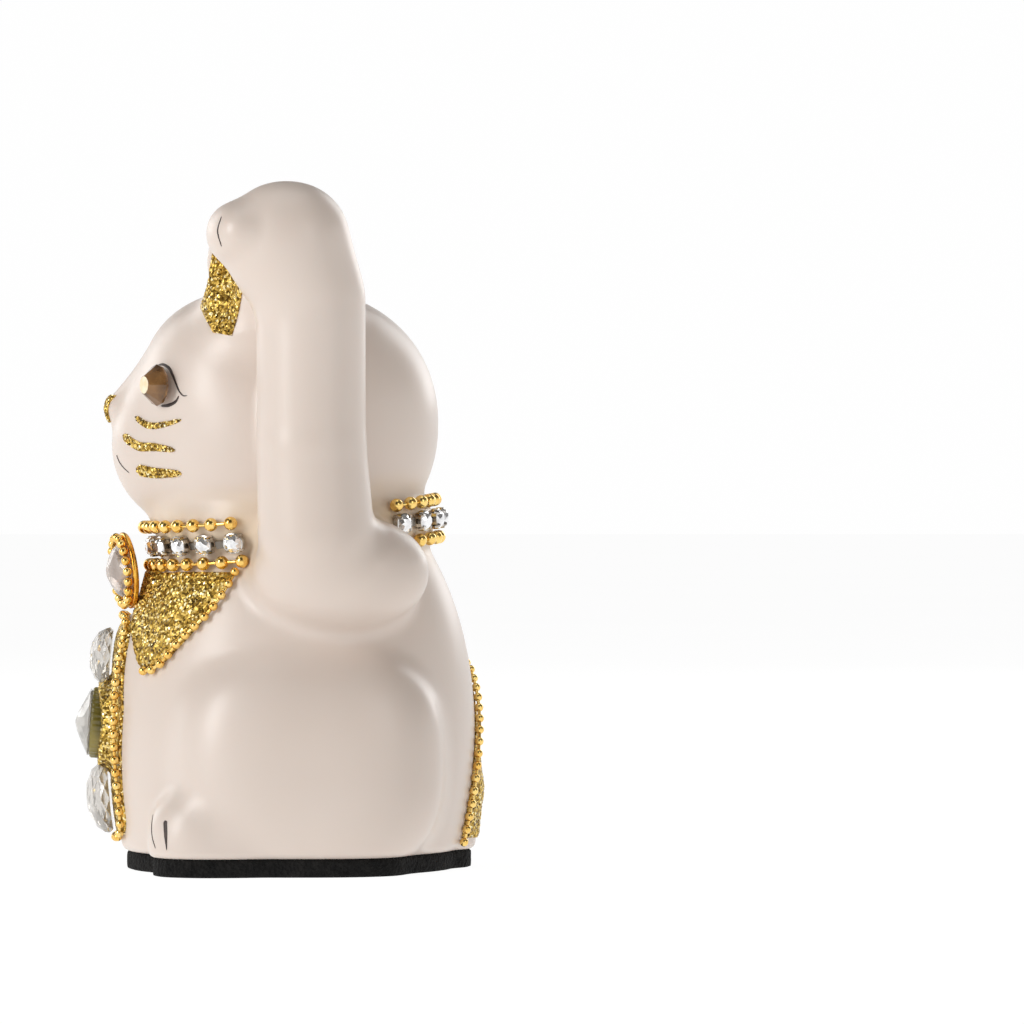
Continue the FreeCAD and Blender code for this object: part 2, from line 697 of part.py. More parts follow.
def tail_edging_line():
    """Up one side, over the rounded top and down the other; none along the bottom."""
    rise = [i / TAIL_SPOTS for i in range(TAIL_SPOTS + 1)]
    edge = [tail_edge(v, TAIL_BORDER) for v in rise]
    top_x, top_z = TAIL_MIDDLE[-1]
    edge += [(top_x + TAIL_TIP[0], top_z + TAIL_TIP[1])]
    edge += [tail_edge(v, -TAIL_BORDER) for v in reversed(rise)]
    return glued_line([from_back(x, z) for x, z in edge], EDGING_BEAD / 2 + GLUE_GAP)


# ======== all the pieces ========

def collar_pieces():
    pieces = {}
    pieces["collar_upper_beads"], pieces["collar_upper_links"] = collar_strand(UPPER_STRAND)
    pieces["collar_lower_beads"], pieces["collar_lower_links"] = collar_strand(LOWER_STRAND)
    cups, stones, links = cup_chain()
    pieces["collar_stone_cups"] = cups
    pieces["collar_rhinestones"] = stones
    pieces["collar_cup_links"] = links
    return pieces


def sided_pieces():
    pieces = {}
    for side, name in ((1, "left"), (-1, "right")):
        pieces[name + "_eye_crystal"] = eye_crystal(side)
        pieces[name + "_ear_glitter"] = ear_glitter(side)
        for row in WHISKERS:
            pieces[name + "_" + row + "_whisker"] = whisker(side, row)
        pieces[name + "_bandana_glitter"] = patch(bib_point(side), 12, 8)
        beads, links = ball_chain(walk(bib_edging_line(side), EDGING_PITCH), EDGING_BEAD)
        pieces[name + "_bandana_beads"] = beads
        pieces[name + "_bandana_links"] = links
    return pieces


def belly_pieces():
    pieces = {"belly_glitter_panel": patch(belly_point, 8, 14)}
    line = walk(belly_edging_line(), EDGING_PITCH, closed=True)
    pieces["belly_border_beads"], pieces["belly_border_links"] = ball_chain(line, EDGING_BEAD, closed=True)
    pieces["belly_upper_crystal"] = belly_crystal(UPPER_STONE)
    pieces["belly_middle_base"] = belly_crystal_base()
    pieces["belly_middle_crystal"] = middle_crystal()
    pieces["belly_lower_crystal"] = belly_crystal(LOWER_STONE)
    return pieces


def tail_pieces():
    beads, links = ball_chain(walk(tail_edging_line(), EDGING_PITCH), EDGING_BEAD)
    return {"tail_glitter": patch(tail_point, 7, 14), "tail_border_beads": beads,
            "tail_border_links": links}


def all_pieces():
    pieces = {"ceramic_shell": ceramic_shell(), "base_pad": base_pad()}
    pieces["nose_glitter"] = nose_glitter()
    pieces["pendant_backing"] = pendant_backing()
    pieces["pendant_rim_beads"] = pendant_rim()
    pieces["pendant_crystal"] = pendant_crystal()
    pieces.update(collar_pieces())
    pieces.update(sided_pieces())
    pieces.update(belly_pieces())
    pieces.update(tail_pieces())
    return pieces


os.makedirs("parts", exist_ok=True)
for node, shape in all_pieces().items():
    shape.exportStep("parts/" + node + ".step")
    print(node, "solids", len(shape.Solids), "volume", round(shape.Volume, 2), "valid", shape.isValid())
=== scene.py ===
import math

import bpy
import numpy as np
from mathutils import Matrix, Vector


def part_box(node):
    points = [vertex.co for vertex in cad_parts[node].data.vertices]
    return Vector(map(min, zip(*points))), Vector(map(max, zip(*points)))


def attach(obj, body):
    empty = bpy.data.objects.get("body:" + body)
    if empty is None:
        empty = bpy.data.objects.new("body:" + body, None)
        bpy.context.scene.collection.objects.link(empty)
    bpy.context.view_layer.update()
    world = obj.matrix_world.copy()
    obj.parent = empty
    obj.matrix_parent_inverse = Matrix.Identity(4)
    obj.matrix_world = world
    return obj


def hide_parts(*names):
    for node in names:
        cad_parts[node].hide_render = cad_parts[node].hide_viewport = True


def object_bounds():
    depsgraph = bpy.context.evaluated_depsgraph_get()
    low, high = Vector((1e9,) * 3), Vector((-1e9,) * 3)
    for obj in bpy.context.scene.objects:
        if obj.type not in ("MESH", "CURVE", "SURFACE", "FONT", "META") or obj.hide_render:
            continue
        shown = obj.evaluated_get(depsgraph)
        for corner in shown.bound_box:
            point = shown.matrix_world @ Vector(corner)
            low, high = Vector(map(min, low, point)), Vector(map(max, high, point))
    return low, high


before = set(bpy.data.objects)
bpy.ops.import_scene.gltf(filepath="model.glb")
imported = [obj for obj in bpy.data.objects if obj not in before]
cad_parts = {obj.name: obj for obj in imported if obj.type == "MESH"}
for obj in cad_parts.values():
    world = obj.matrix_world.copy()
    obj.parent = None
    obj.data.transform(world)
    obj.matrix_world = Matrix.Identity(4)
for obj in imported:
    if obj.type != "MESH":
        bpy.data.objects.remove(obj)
CAD_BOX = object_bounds()

# Beckoning cat figurine. The form is worked out in millimetres and made into meshes in metres.
# +Z is up, the cat faces -Y, and its raised left arm is on +X.
MM = 0.001
PAD_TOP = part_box("base_pad")[1].z / MM
SEED = 7

# ---- the ceramic form: rounded masses (centre, radii, squareness, lean in degrees) ----
TORSO = ((0, -0.3, 22), (30.4, 32.2, 49.6), 2.05, -2)
CHEST = ((0, -21, 36), (13, 10.7, 10.4), 3.0, 0)
HAUNCH = ((18.6, 2, 19.5), (16.4, 24.0, 21.6), 2.6, 0)
FOOT = ((22.2, -13.8, 6), (10.0, 12.0, 10.6), 2.3, 0)
THROAT = ((0, -32.5, 51.6), (15, 7.6, 6.2), 2.4, 0)    # a hollow behind the pendant, taken away
NECK = ((0, -0.4, 61.5), (24.4, 25.0, 10), 2.2, 0)
SKULL = ((0, -1.2, 79), (27.0, 26.6, 24.4), 2.15, 0)
BROW = ((0, -8, 85), (24, 19.7, 17.9), 2.2, 0)
MUZZLE = ((0, -20.6, 75.2), (12.9, 12.1, 13.3), 2.0, 0)
ELBOW = ((24.4, 7.7, 52.8), (12.5, 15.4, 10.1), 2.1, 0)
PAW = ((34.2, -1.6, 109.6), (10.8, 11.0, 10.7), 2.1, 0)
TOES = ((34.4, -9.0, 111.2), (9.8, 6.4, 5.8), 2.1, 0)

# ---- and tapering limbs, as stations (x, y, z, radius) ----
NOSE_BRIDGE = [(0, -23.3, 87.0, 4.2), (0, -31.0, 82.0, 2.6)]
EAR = [(14.4, -3.9, 99.6, 12.4), (17.0, -6.1, 107.2, 9.4), (19.4, -10.3, 112.0, 5.2)]
RAISED_ARM = [(31.4, 3.5, 60, 10.1), (32.5, 2.7, 75, 9.4), (33.2, 2.6, 100, 9.4)]
LOWERED_ARM = [(-16.8, 2, 55.5, 6.0), (-23.4, 0, 46.5, 7.0), (-26.6, -3, 38, 7.4),
               (-23, -18.5, 29, 6.2), (-16.5, -25.8, 27, 5.6)]
TAIL = [(-0.5, 23, -6, 8), (-1, 25, 14, 8), (-4.6, 24.6, 24, 7.4), (-9.3, 22.6, 31, 6.8)]

HAUNCH_BLEND = 2.4
FOOT_BLEND = 2.2
ARM_BLEND = 2.0
TAIL_BLEND = 1.5
NECK_BLEND = 2.5
MUZZLE_BLEND = 6.0
NOSE_BLEND = 3.0
EAR_BLEND = 5.0
ELBOW_BLEND = 3.0
PAW_BLEND = 5.0
TOE_BLEND = 1.6
BROW_BLEND = 2.0
CHEST_BLEND = 3.0
THROAT_BLEND = 1.2
LIMB_BLEND = 0.6
SHOULDER_BLEND = 3.2     # where the raised arm runs into the head and body
BASE_EDGE = 1.2          # rounding of the casting's lower edge
EAR_HOLLOW = ((23.9, -15.2, 103.6), (5.4, 5.4, 8.8), 2.0, 0)    # the front of each ear, taken away
HOLLOW_BLEND = 1.4
CELL = 0.62              # size of one facet of the ceramic
PAD_INSET = -0.6         # the pad's outline, as a distance from the casting's skin; below zero is inside
PAD_POINTS = 240         # round that outline
RAGGED = 0.05            # how uneven the foam's cut edge is

# ---- how closely a point is brought to the skin ----
MARCH_STEPS = 60
MARCH_SHARE = 0.9        # of the distance still to go, taken in each step
SLOPE_STEP = 0.05        # how far apart the samples for a normal are
FAR_OUT = 60.0           # where rays towards the cat start
MIDDLE_Y = -2.0          # y of an upright line inside the cat, which rays outwards start from


# ======== the shape of the ceramic, as a distance from its skin ========

def blend(a, b, width):
    overlap = np.maximum(width - np.abs(a - b), 0) / width
    return np.minimum(a, b) - overlap * overlap * width / 4


def mass_distance(p, mass, side=1):
    centre, radii, power, lean = mass
    x = p[..., 0] - side * centre[0]
    y = p[..., 1] - centre[1]
    z = p[..., 2] - centre[2]
    if lean:
        turn = math.radians(lean)
        y, z = (math.cos(turn) * y + math.sin(turn) * z, math.cos(turn) * z - math.sin(turn) * y)
    u = np.abs(np.stack([x, y, z], -1)) / np.array(radii) + 1e-9
    raised = u ** (power - 1)
    rho = (raised * u).sum(-1) ** (1 / power)
    slope = raised / np.array(radii) * rho[..., None] ** (1 - power)
    return (rho - 1) / np.sqrt((slope * slope).sum(-1))


def limb_distance(p, stations, side=1):
    total = None
    mirror = np.array([side, 1, 1])
    for a, b in zip(stations[:-1], stations[1:]):
        start = np.array(a[:3]) * mirror
        run = np.array(b[:3]) * mirror - start
        along = np.clip((p - start) @ run / (run @ run), 0, 1)
        off = p - start - along[..., None] * run
        part = np.sqrt((off * off).sum(-1)) - (a[3] + along * (b[3] - a[3]))
        total = part if total is None else blend(total, part, LIMB_BLEND)
    return total


def head_distance(p):
    d = blend(mass_distance(p, SKULL), mass_distance(p, BROW), BROW_BLEND)
    d = blend(d, mass_distance(p, MUZZLE), MUZZLE_BLEND)
    return blend(d, limb_distance(p, NOSE_BRIDGE), NOSE_BLEND)


def body_distance(p):
    """Everything but the raised arm."""
    d = blend(mass_distance(p, TORSO), mass_distance(p, CHEST), CHEST_BLEND)
    d = -blend(-d, mass_distance(p, THROAT), THROAT_BLEND)
    for side in (1, -1):
        d = blend(d, mass_distance(p, HAUNCH, side), HAUNCH_BLEND)
        d = blend(d, mass_distance(p, FOOT, side), FOOT_BLEND)
    d = blend(d, limb_distance(p, LOWERED_ARM), ARM_BLEND)
    d = blend(d, limb_distance(p, TAIL), TAIL_BLEND)
    d = blend(d, mass_distance(p, NECK), NECK_BLEND)
    d = blend(d, head_distance(p), NECK_BLEND)
    ears = np.minimum(limb_distance(p, EAR, 1), limb_distance(p, EAR, -1))
    return blend(d, ears, EAR_BLEND)


def shown_body_distance(p):
    """The body with the hollow fronts of its ears."""
    d = body_distance(p)
    for side in (1, -1):
        d = -blend(-d, mass_distance(p, EAR_HOLLOW, side), HOLLOW_BLEND)
    return d


def raised_arm_distance(p):
    d = blend(limb_distance(p, RAISED_ARM), mass_distance(p, ELBOW), ELBOW_BLEND)
    d = blend(d, mass_distance(p, PAW), PAW_BLEND)
    return blend(d, mass_distance(p, TOES), TOE_BLEND)


def cat_distance(p):
    d = blend(shown_body_distance(p), raised_arm_distance(p), SHOULDER_BLEND)
    return -blend(-d, p[..., 2] - PAD_TOP, BASE_EDGE)


def normals_at(p, field):
    slopes = [field(p + SLOPE_STEP * axis) - field(p - SLOPE_STEP * axis) for axis in np.eye(3)]
    slope = np.stack(slopes, -1)
    return slope / np.linalg.norm(slope, axis=-1, keepdims=True)


def march(start, direction, field=shown_body_distance, level=0.0, outward=False):
    """Where rays cross the surface at this height above the skin."""
    sign = 1 if outward else -1
    point = np.array(start, float)
    for _ in range(MARCH_STEPS):
        point = point + direction * (sign * (level - field(point)) * MARCH_SHARE)[..., None]
    return point


# ======== meshes ========

def sampled(field, low, high, cell):
    """The field on a grid. Far from the skin a coarse sample is enough."""
    counts = np.ceil((high - low) / cell).astype(int) + 1
    skip = 4
    lines = [low[i] + cell * np.arange(counts[i]) for i in range(3)]
    grid = np.stack(np.meshgrid(*lines, indexing="ij"), -1)
    coarse = field(grid[::skip, ::skip, ::skip])
    nearest = [np.minimum((np.arange(n) + skip // 2) // skip, coarse.shape[i] - 1)
               for i, n in enumerate(counts)]
    values = coarse[np.ix_(*nearest)]
    near = np.abs(values) < skip * cell * 1.9
    values[near] = field(grid[near])
    return values


def surface_net(field, low, high, cell):
    """An even mesh of four-sided facets on the field's zero surface."""
    values = sampled(field, low, high, cell)
    inside = values < 0
    count = np.zeros([n - 1 for n in values.shape], np.int8)
    corners = [(i, j, k) for i in (0, 1) for j in (0, 1) for k in (0, 1)]
    for i, j, k in corners:
        count += inside[i:i + count.shape[0], j:j + count.shape[1], k:k + count.shape[2]]
    mixed = (count > 0) & (count < 8)
    index = np.full(mixed.shape, -1)
    cells = np.argwhere(mixed)
    index[mixed] = np.arange(len(cells))
    total = np.zeros((len(cells), 3))
    hits = np.zeros(len(cells))
    for a in corners:
        for axis in range(3):
            if a[axis]:
                continue
            b = tuple(1 if q == axis else a[q] for q in range(3))
            va = values[tuple((cells + a).T)]
            vb = values[tuple((cells + b).T)]
            crossing = (va < 0) != (vb < 0)
            t = np.where(crossing, va / np.where(crossing, va - vb, 1), 0)
            spot = cells + np.array(a) + t[:, None] * (np.array(b) - np.array(a))
            total += spot * crossing[:, None]
            hits += crossing
    points = low + cell * total / hits[:, None]
    for _ in range(2):
        points = points - normals_at(points, field) * field(points)[:, None]
    faces = []
    for axis in range(3):
        p, q = (axis + 1) % 3, (axis + 2) % 3
        first = np.take(inside, range(inside.shape[axis] - 1), axis)
        second = np.take(inside, range(1, inside.shape[axis]), axis)
        edges = np.argwhere(first != second)
        edges = edges[(edges[:, p] > 0) & (edges[:, q] > 0)]
        edges = edges[(edges[:, p] < inside.shape[p] - 1) & (edges[:, q] < inside.shape[q] - 1)]
        back_p, back_q = np.zeros(3, int), np.zeros(3, int)
        back_p[p], back_q[q] = 1, 1
        ring = [edges - back_p - back_q, edges - back_q, edges, edges - back_p]
        quad = np.stack([index[tuple(c.T)] for c in ring], -1)
        leaving = inside[tuple(edges.T)]
        quad[~leaving] = quad[~leaving][:, ::-1]
        faces.append(quad)
    return points, np.concatenate(faces)


def piece(name, points, faces, material, replaced=(), smooth=True):
    """A mesh object from millimetre points, riding on the one body."""
    mesh = bpy.data.meshes.new(name)
    mesh.from_pydata((np.asarray(points, float) * MM).tolist(), [], [list(map(int, f)) for f in faces])
    mesh.validate()
    mesh.polygons.foreach_set("use_smooth", [smooth] * len(mesh.polygons))
    mesh.materials.append(material)
    mesh.update()
    made = bpy.data.objects.new(name, mesh)
    bpy.context.scene.collection.objects.link(made)
    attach(made, "root")
    if replaced:
        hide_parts(*replaced)
    return made


def merged(shapes):
    """Several (points, faces) as one."""
    points, faces, first = [], [], 0
    for p, f in shapes:
        points.append(np.asarray(p))
        faces += [[first + i for i in face] for face in f]
        first += len(p)
    return np.concatenate(points), faces


def ring_faces(rows, sides, star=0.0):
    """Faces between stacked rings of points and over both ends. With a star they are triangles."""
    faces = []
    for i in range(rows - 1):
        for j in range(sides):
            k = (j + 1) % sides
            low, high = i * sides, (i + 1) * sides
            if not star:
                faces.append([low + j, low + k, high + k, high + j])
            elif i % 2 == 0:
                faces.append([low + j, low + k, high + j])
                faces.append([low + k, high + k, high + j])
            else:
                faces.append([low + j, low + k, high + k])
                faces.append([low + j, high + k, high + j])
    faces.append(list(range(sides))[::-1])
    faces.append([(rows - 1) * sides + j for j in range(sides)])
    return faces


def turned(profile, sides, star=0.0):
    """A closed shape turned about +Z from (radius, height) points. A star shifts every other row."""
    points = []
    for i, (radius, height) in enumerate(profile):
        for j in range(sides):
            a = 2 * math.pi * (j + star * (i % 2)) / sides
            points.append((radius * math.cos(a), radius * math.sin(a), height))
    return np.array(points), ring_faces(len(profile), sides, star)


def placed(shape, centre, out, along_line):
    """Stand a shape built on +Z at a spot, with +Z pointing out and +X along the line."""
    points, faces = shape
    out = np.array(out, float) / np.linalg.norm(out)
    across = np.cross(out, along_line)
    across /= np.linalg.norm(across)
    forward = np.cross(across, out)
    return np.asarray(points) @ np.array([forward, across, out]) + np.array(centre), faces


def islands(node):
    """The middle of each separate solid in a CAD node, in millimetres, and its points."""
    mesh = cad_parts[node].data
    co = np.array([v.co for v in mesh.vertices]) / MM
    keys = np.round(co, 3)
    unique, same = np.unique(keys, axis=0, return_inverse=True)
    same = same.reshape(-1)
    label = np.arange(len(unique))
    edges = np.array([[same[e.vertices[0]], same[e.vertices[1]]] for e in mesh.edges])
    while True:
        low = np.minimum(label[edges[:, 0]], label[edges[:, 1]])
        fresh = label.copy()
        np.minimum.at(fresh, edges[:, 0], low)
        np.minimum.at(fresh, edges[:, 1], low)
        fresh = fresh[fresh]
        if (fresh == label).all():
            break
        label = fresh
    groups = [unique[label == g] for g in np.unique(label)]
    return [((g.min(0) + g.max(0)) / 2, g) for g in groups]


# ======== materials ========

def material(name, **settings):
    """A new material and its Principled shader."""
    made = bpy.data.materials.new(name)
    made.use_nodes = True
    shader = made.node_tree.nodes["Principled BSDF"]
    for socket, value in settings.items():
        shader.inputs[socket.replace("_", " ")].default_value = value
    return made, shader


def add(made, kind, inputs=None, **settings):
    node = made.node_tree.nodes.new(kind)
    for key, value in settings.items():
        setattr(node, key, value)
    for key, value in (inputs or {}).items():
        if isinstance(value, bpy.types.NodeSocket):
            made.node_tree.links.new(value, node.inputs[key])
        else:
            node.inputs[key].default_value = value
    return node


def ramp(made, fac, stops):
    node = add(made, "ShaderNodeValToRGB", {"Fac": fac})
    while len(node.color_ramp.elements) < len(stops):
        node.color_ramp.elements.new(1.0)
    for element, (at, colour) in zip(node.color_ramp.elements, stops):
        element.position = at
        element.color = (*colour, 1.0)
    return node


def position(made):
    return add(made, "ShaderNodeTexCoord").outputs["Object"]


def noise(made, where, scale, detail):
    """The value of a cloudy texture."""
    node = add(made, "ShaderNodeTexNoise", {"Vector": where, "Scale": scale, "Detail": detail})
    return node.outputs["Fac"]


def link(made, output, socket):
    made.node_tree.links.new(output, socket)


def ceramic_material():
    made, shader = material("ceramic_glaze", Roughness=0.40, Specular_IOR_Level=0.5, Coat_Weight=0.25,
                            Coat_Roughness=0.25, Subsurface_Weight=0.1, Subsurface_Scale=0.002)
    shader.inputs["Subsurface Radius"].default_value = (1.0, 0.6, 0.45)
    where = position(made)
    cloud = noise(made, where, 28.0, 3.0)
    body = ramp(made, cloud, [(0.3, (0.70, 0.595, 0.52)), (0.7, (0.73, 0.63, 0.56))])
    # old glue has left a faint warm stain round the neck, close to the strands
    split = add(made, "ShaderNodeSeparateXYZ", {"Vector": where})
    level = add(made, "ShaderNodeMath", {0: split.outputs["Y"], 1: -0.09, 2: split.outputs["Z"]},
                operation="MULTIPLY_ADD")
    near = add(made, "ShaderNodeMapRange", {"Value": level.outputs[0], "From Min": 0.0505,
                                            "From Max": 0.0695, "To Min": -1.0, "To Max": 1.0})
    away = add(made, "ShaderNodeMath", {0: near.outputs[0]}, operation="ABSOLUTE")
    fade = add(made, "ShaderNodeMath", {0: 1.0, 1: away.outputs[0]}, operation="SUBTRACT", use_clamp=True)
    flat = add(made, "ShaderNodeCombineXYZ", {"X": split.outputs["X"], "Y": split.outputs["Y"]})
    reach = add(made, "ShaderNodeVectorMath", {0: flat.outputs[0]}, operation="LENGTH")
    neck = add(made, "ShaderNodeMapRange", {"Value": reach.outputs["Value"], "From Min": 0.0275,
                                            "From Max": 0.0300, "To Min": 1.0, "To Max": 0.0})
    patchy = noise(made, where, 160.0, 2.0)
    on_neck = add(made, "ShaderNodeMath", {0: fade.outputs[0], 1: neck.outputs[0]}, operation="MULTIPLY")
    amount = add(made, "ShaderNodeMath", {0: on_neck.outputs[0], 1: patchy},
                 operation="MULTIPLY")
    mixed = add(made, "ShaderNodeMix", {"Factor": amount.outputs[0], 6: body.outputs[0],
                                        7: (0.80, 0.60, 0.33, 1)}, data_type="RGBA")
    link(made, mixed.outputs[2], shader.inputs["Base Color"])
    grain = noise(made, where, 900.0, 2.0)
    bump = add(made, "ShaderNodeBump", {"Height": grain, "Strength": 0.05,
                                        "Distance": 0.0002})
    link(made, bump.outputs[0], shader.inputs["Normal"])
    return made


def gold_material(name, bright, deep, rough):
    made, shader = material(name, Metallic=1.0)
    where = position(made)
    cloud = noise(made, where, 420.0, 3.0)
    tone = ramp(made, cloud, [(0.35, deep), (0.6, bright)])
    link(made, tone.outputs[0], shader.inputs["Base Color"])
    wear = noise(made, where, 1500.0, 2.0)
    polish = add(made, "ShaderNodeMapRange", {"Value": wear, "To Min": rough * 0.7,
                                              "To Max": rough * 1.5})
    link(made, polish.outputs[0], shader.inputs["Roughness"])
    bump = add(made, "ShaderNodeBump", {"Height": wear, "Strength": 0.12, "Distance": 0.0001})
    link(made, bump.outputs[0], shader.inputs["Normal"])
    return made


def glass_material(name, tint, dim, rough, amount):
    made, shader = material(name, Transmission_Weight=amount, IOR=1.56, Specular_IOR_Level=0.5)
    where = position(made)
    cloud = noise(made, where, 260.0, 1.0)
    tone = ramp(made, cloud, [(0.35, dim), (0.65, tint)])
    link(made, tone.outputs[0], shader.inputs["Base Color"])
    haze = noise(made, where, 700.0, 2.0)
    polish = add(made, "ShaderNodeMapRange", {"Value": haze, "To Min": rough * 0.4,
                                              "To Max": rough * 1.6})
    link(made, polish.outputs[0], shader.inputs["Roughness"])
    return made


FLAKES_PER_METRE = 2600.0
FLAKE_TILT = 0.75


def glitter_material():
    """Tiny flakes, each with its own tilt and brightness, in dark olive glue."""
    made, shader = material("gold_glitter", Metallic=0.9)
    where = position(made)
    flakes = add(made, "ShaderNodeTexVoronoi", {"Vector": where, "Scale": FLAKES_PER_METRE},
                 feature="F1")
    pick = add(made, "ShaderNodeSeparateColor", {"Color": flakes.outputs["Color"]})
    tone = ramp(made, pick.outputs[0], [(0.0, (0.14, 0.075, 0.012)), (0.35, (0.36, 0.22, 0.035)),
                                        (0.62, (0.63, 0.41, 0.08)), (0.88, (0.94, 0.69, 0.21)),
                                        (1.0, (1.0, 0.94, 0.62))])
    link(made, tone.outputs[0], shader.inputs["Base Color"])
    polish = add(made, "ShaderNodeMapRange", {"Value": pick.outputs[1], "To Min": 0.24, "To Max": 0.55})
    link(made, polish.outputs[0], shader.inputs["Roughness"])
    centred = add(made, "ShaderNodeVectorMath", {0: flakes.outputs["Color"], 1: (0.5, 0.5, 0.5)},
                  operation="SUBTRACT")
    lean = add(made, "ShaderNodeVectorMath", {0: centred.outputs[0], "Scale": FLAKE_TILT},
               operation="SCALE")
    face = add(made, "ShaderNodeNewGeometry")
    tilted = add(made, "ShaderNodeVectorMath", {0: face.outputs["Normal"], 1: lean.outputs[0]},
                 operation="ADD")
    unit = add(made, "ShaderNodeVectorMath", {0: tilted.outputs[0]}, operation="NORMALIZE")
    link(made, unit.outputs[0], shader.inputs["Normal"])
    return made


def silver_material(name, dark, bright):
    made, shader = material(name, Metallic=1.0)
    cloud = noise(made, position(made), 500.0, 3.0)
    tone = ramp(made, cloud, [(0.35, dark), (0.6, bright)])
    link(made, tone.outputs[0], shader.inputs["Base Color"])
    polish = add(made, "ShaderNodeMapRange", {"Value": cloud, "To Min": 0.34, "To Max": 0.12})
    link(made, polish.outputs[0], shader.inputs["Roughness"])
    return made


def foil_material():
    """Clear cut glass over bright foil: every facet is a small mirror."""
    made, shader = material("foiled_crystal", Metallic=0.85, Coat_Weight=1.0, Coat_Roughness=0.02)
    cloud = noise(made, position(made), 700.0, 2.0)
    tone = ramp(made, cloud, [(0.35, (0.74, 0.73, 0.74)), (0.6, (1.0, 1.0, 1.0))])
    link(made, tone.outputs[0], shader.inputs["Base Color"])
    polish = add(made, "ShaderNodeMapRange", {"Value": cloud, "To Min": 0.02, "To Max": 0.14})
    link(made, polish.outputs[0], shader.inputs["Roughness"])
    return made


def table_material():
    """Pale foil behind the flat end of a stone."""
    made, shader = material("stone_table", Metallic=0.35, Coat_Weight=1.0, Coat_Roughness=0.03)
    cloud = noise(made, position(made), 500.0, 2.0)
    tone = ramp(made, cloud, [(0.35, (0.90, 0.70, 0.40)), (0.65, (1.0, 0.88, 0.62))])
    link(made, tone.outputs[0], shader.inputs["Base Color"])
    polish = add(made, "ShaderNodeMapRange", {"Value": cloud, "To Min": 0.1, "To Max": 0.3})
    link(made, polish.outputs[0], shader.inputs["Roughness"])
    return made


def foam_material():
    made, shader = material("black_foam", Roughness=0.95, Specular_IOR_Level=0.25)
    where = position(made)
    cells = add(made, "ShaderNodeTexVoronoi", {"Vector": where, "Scale": 1500.0}, feature="F1")
    cloud = noise(made, where, 600.0, 4.0)
    tone = ramp(made, cloud, [(0.3, (0.003, 0.003, 0.003)), (0.75, (0.014, 0.013, 0.012))])
    link(made, tone.outputs[0], shader.inputs["Base Color"])
    bump = add(made, "ShaderNodeBump", {"Height": cells.outputs["Distance"], "Strength": 0.9,
                                        "Distance": 0.0006})
    link(made, bump.outputs[0], shader.inputs["Normal"])
    return made


def paint_material():
    made, shader = material("brown_paint", Roughness=0.45)
    cloud = noise(made, position(made), 900.0, 3.0)
    tone = ramp(made, cloud, [(0.3, (0.020, 0.012, 0.010)), (0.75, (0.075, 0.045, 0.036))])
    link(made, tone.outputs[0], shader.inputs["Base Color"])
    return made


CERAMIC = ceramic_material()
GOLD = gold_material("gold_bead", (1.0, 0.73, 0.25), (0.90, 0.54, 0.12), 0.17)
GOLD_CAST = gold_material("gold_casting", (0.95, 0.55, 0.10), (0.72, 0.32, 0.04), 0.2)
SILVER = silver_material("silver_plate", (0.30, 0.26, 0.22), (0.74, 0.72, 0.69))
# near-black silver for the links between the stone cups: painted shade for the dark gaps between the cups
SHADE_DARK_SILVER = silver_material("shade_dark_link_silver", (0.05, 0.04, 0.035), (0.22, 0.19, 0.16))
FOILED = foil_material()
CAST_GLASS = glass_material("cast_glass", (0.92, 0.89, 0.85), (0.78, 0.75, 0.70), 0.06, 0.72)
GREY_GLASS = glass_material("grey_glass", (0.74, 0.66, 0.60), (0.50, 0.42, 0.37), 0.07, 0.75)
TOPAZ = glass_material("smoky_crystal", (0.46, 0.24, 0.09), (0.13, 0.06, 0.02), 0.05, 0.6)
OLIVE = glass_material("olive_glass", (0.34, 0.27, 0.05), (0.16, 0.13, 0.02), 0.2, 0.3)
GLITTER = glitter_material()
TABLE = table_material()
FOAM = foam_material()
PAINT = paint_material()


# ======== the casting and its pad ========

def ceramic():
    low = np.array([CAD_BOX[0][0], CAD_BOX[0][1], 0]) / MM - 1
    high = np.array(CAD_BOX[1]) / MM + 2
    points, faces = surface_net(cat_distance, low, high, CELL)
    piece("ceramic_cat", points, faces, CERAMIC, ("ceramic_shell",))


def pad():
    """Foam with rounded, slightly ragged edges, cut to the footprint."""
    rng = np.random.default_rng(SEED)
    a = np.linspace(0, 2 * math.pi, PAD_POINTS, endpoint=False)
    outward = np.stack([np.cos(a), np.sin(a), np.zeros(PAD_POINTS)], -1)
    start = np.tile([0, MIDDLE_Y, PAD_TOP + 0.01], (PAD_POINTS, 1))
    edge = march(start, outward, field=body_distance, level=PAD_INSET, outward=True)
    # how far in from the edge each row of the side runs, at its height
    profile = [(-0.5, 0), (-0.15, 0.12), (-0.06, 0.5), (-0.06, 1.1), (-0.06, 1.7), (-0.06, 2.3), (-0.1, 2.8),
               (-0.4, PAD_TOP)]
    points = []
    for inset, height in profile:
        ragged = np.minimum(rng.normal(0, RAGGED, PAD_POINTS), RAGGED)
        row = edge + outward * (inset + ragged)[:, None]
        points.append(np.column_stack([row[:, 0], row[:, 1], np.full(PAD_POINTS, height)]))
    faces = ring_faces(len(profile), PAD_POINTS)
    foam = piece("foam_pad", np.concatenate(points), faces, FOAM, ("base_pad",))


# ======== glitter ========

GLUE = 0.05              # how far the glue reaches to either side of the skin
GRAIN = 0.30             # spacing of the glitter's grains
GRAIN_LIFT = 0.11        # how uneven their heights are
GRAIN_SHIFT = 0.35       # and how uneven their places, as a share of a row
GLITTER_EDGE = 0.9       # how wide the thinner rim is
RIM_SHARE = 0.45         # its thickness at the very edge, as a share of the whole


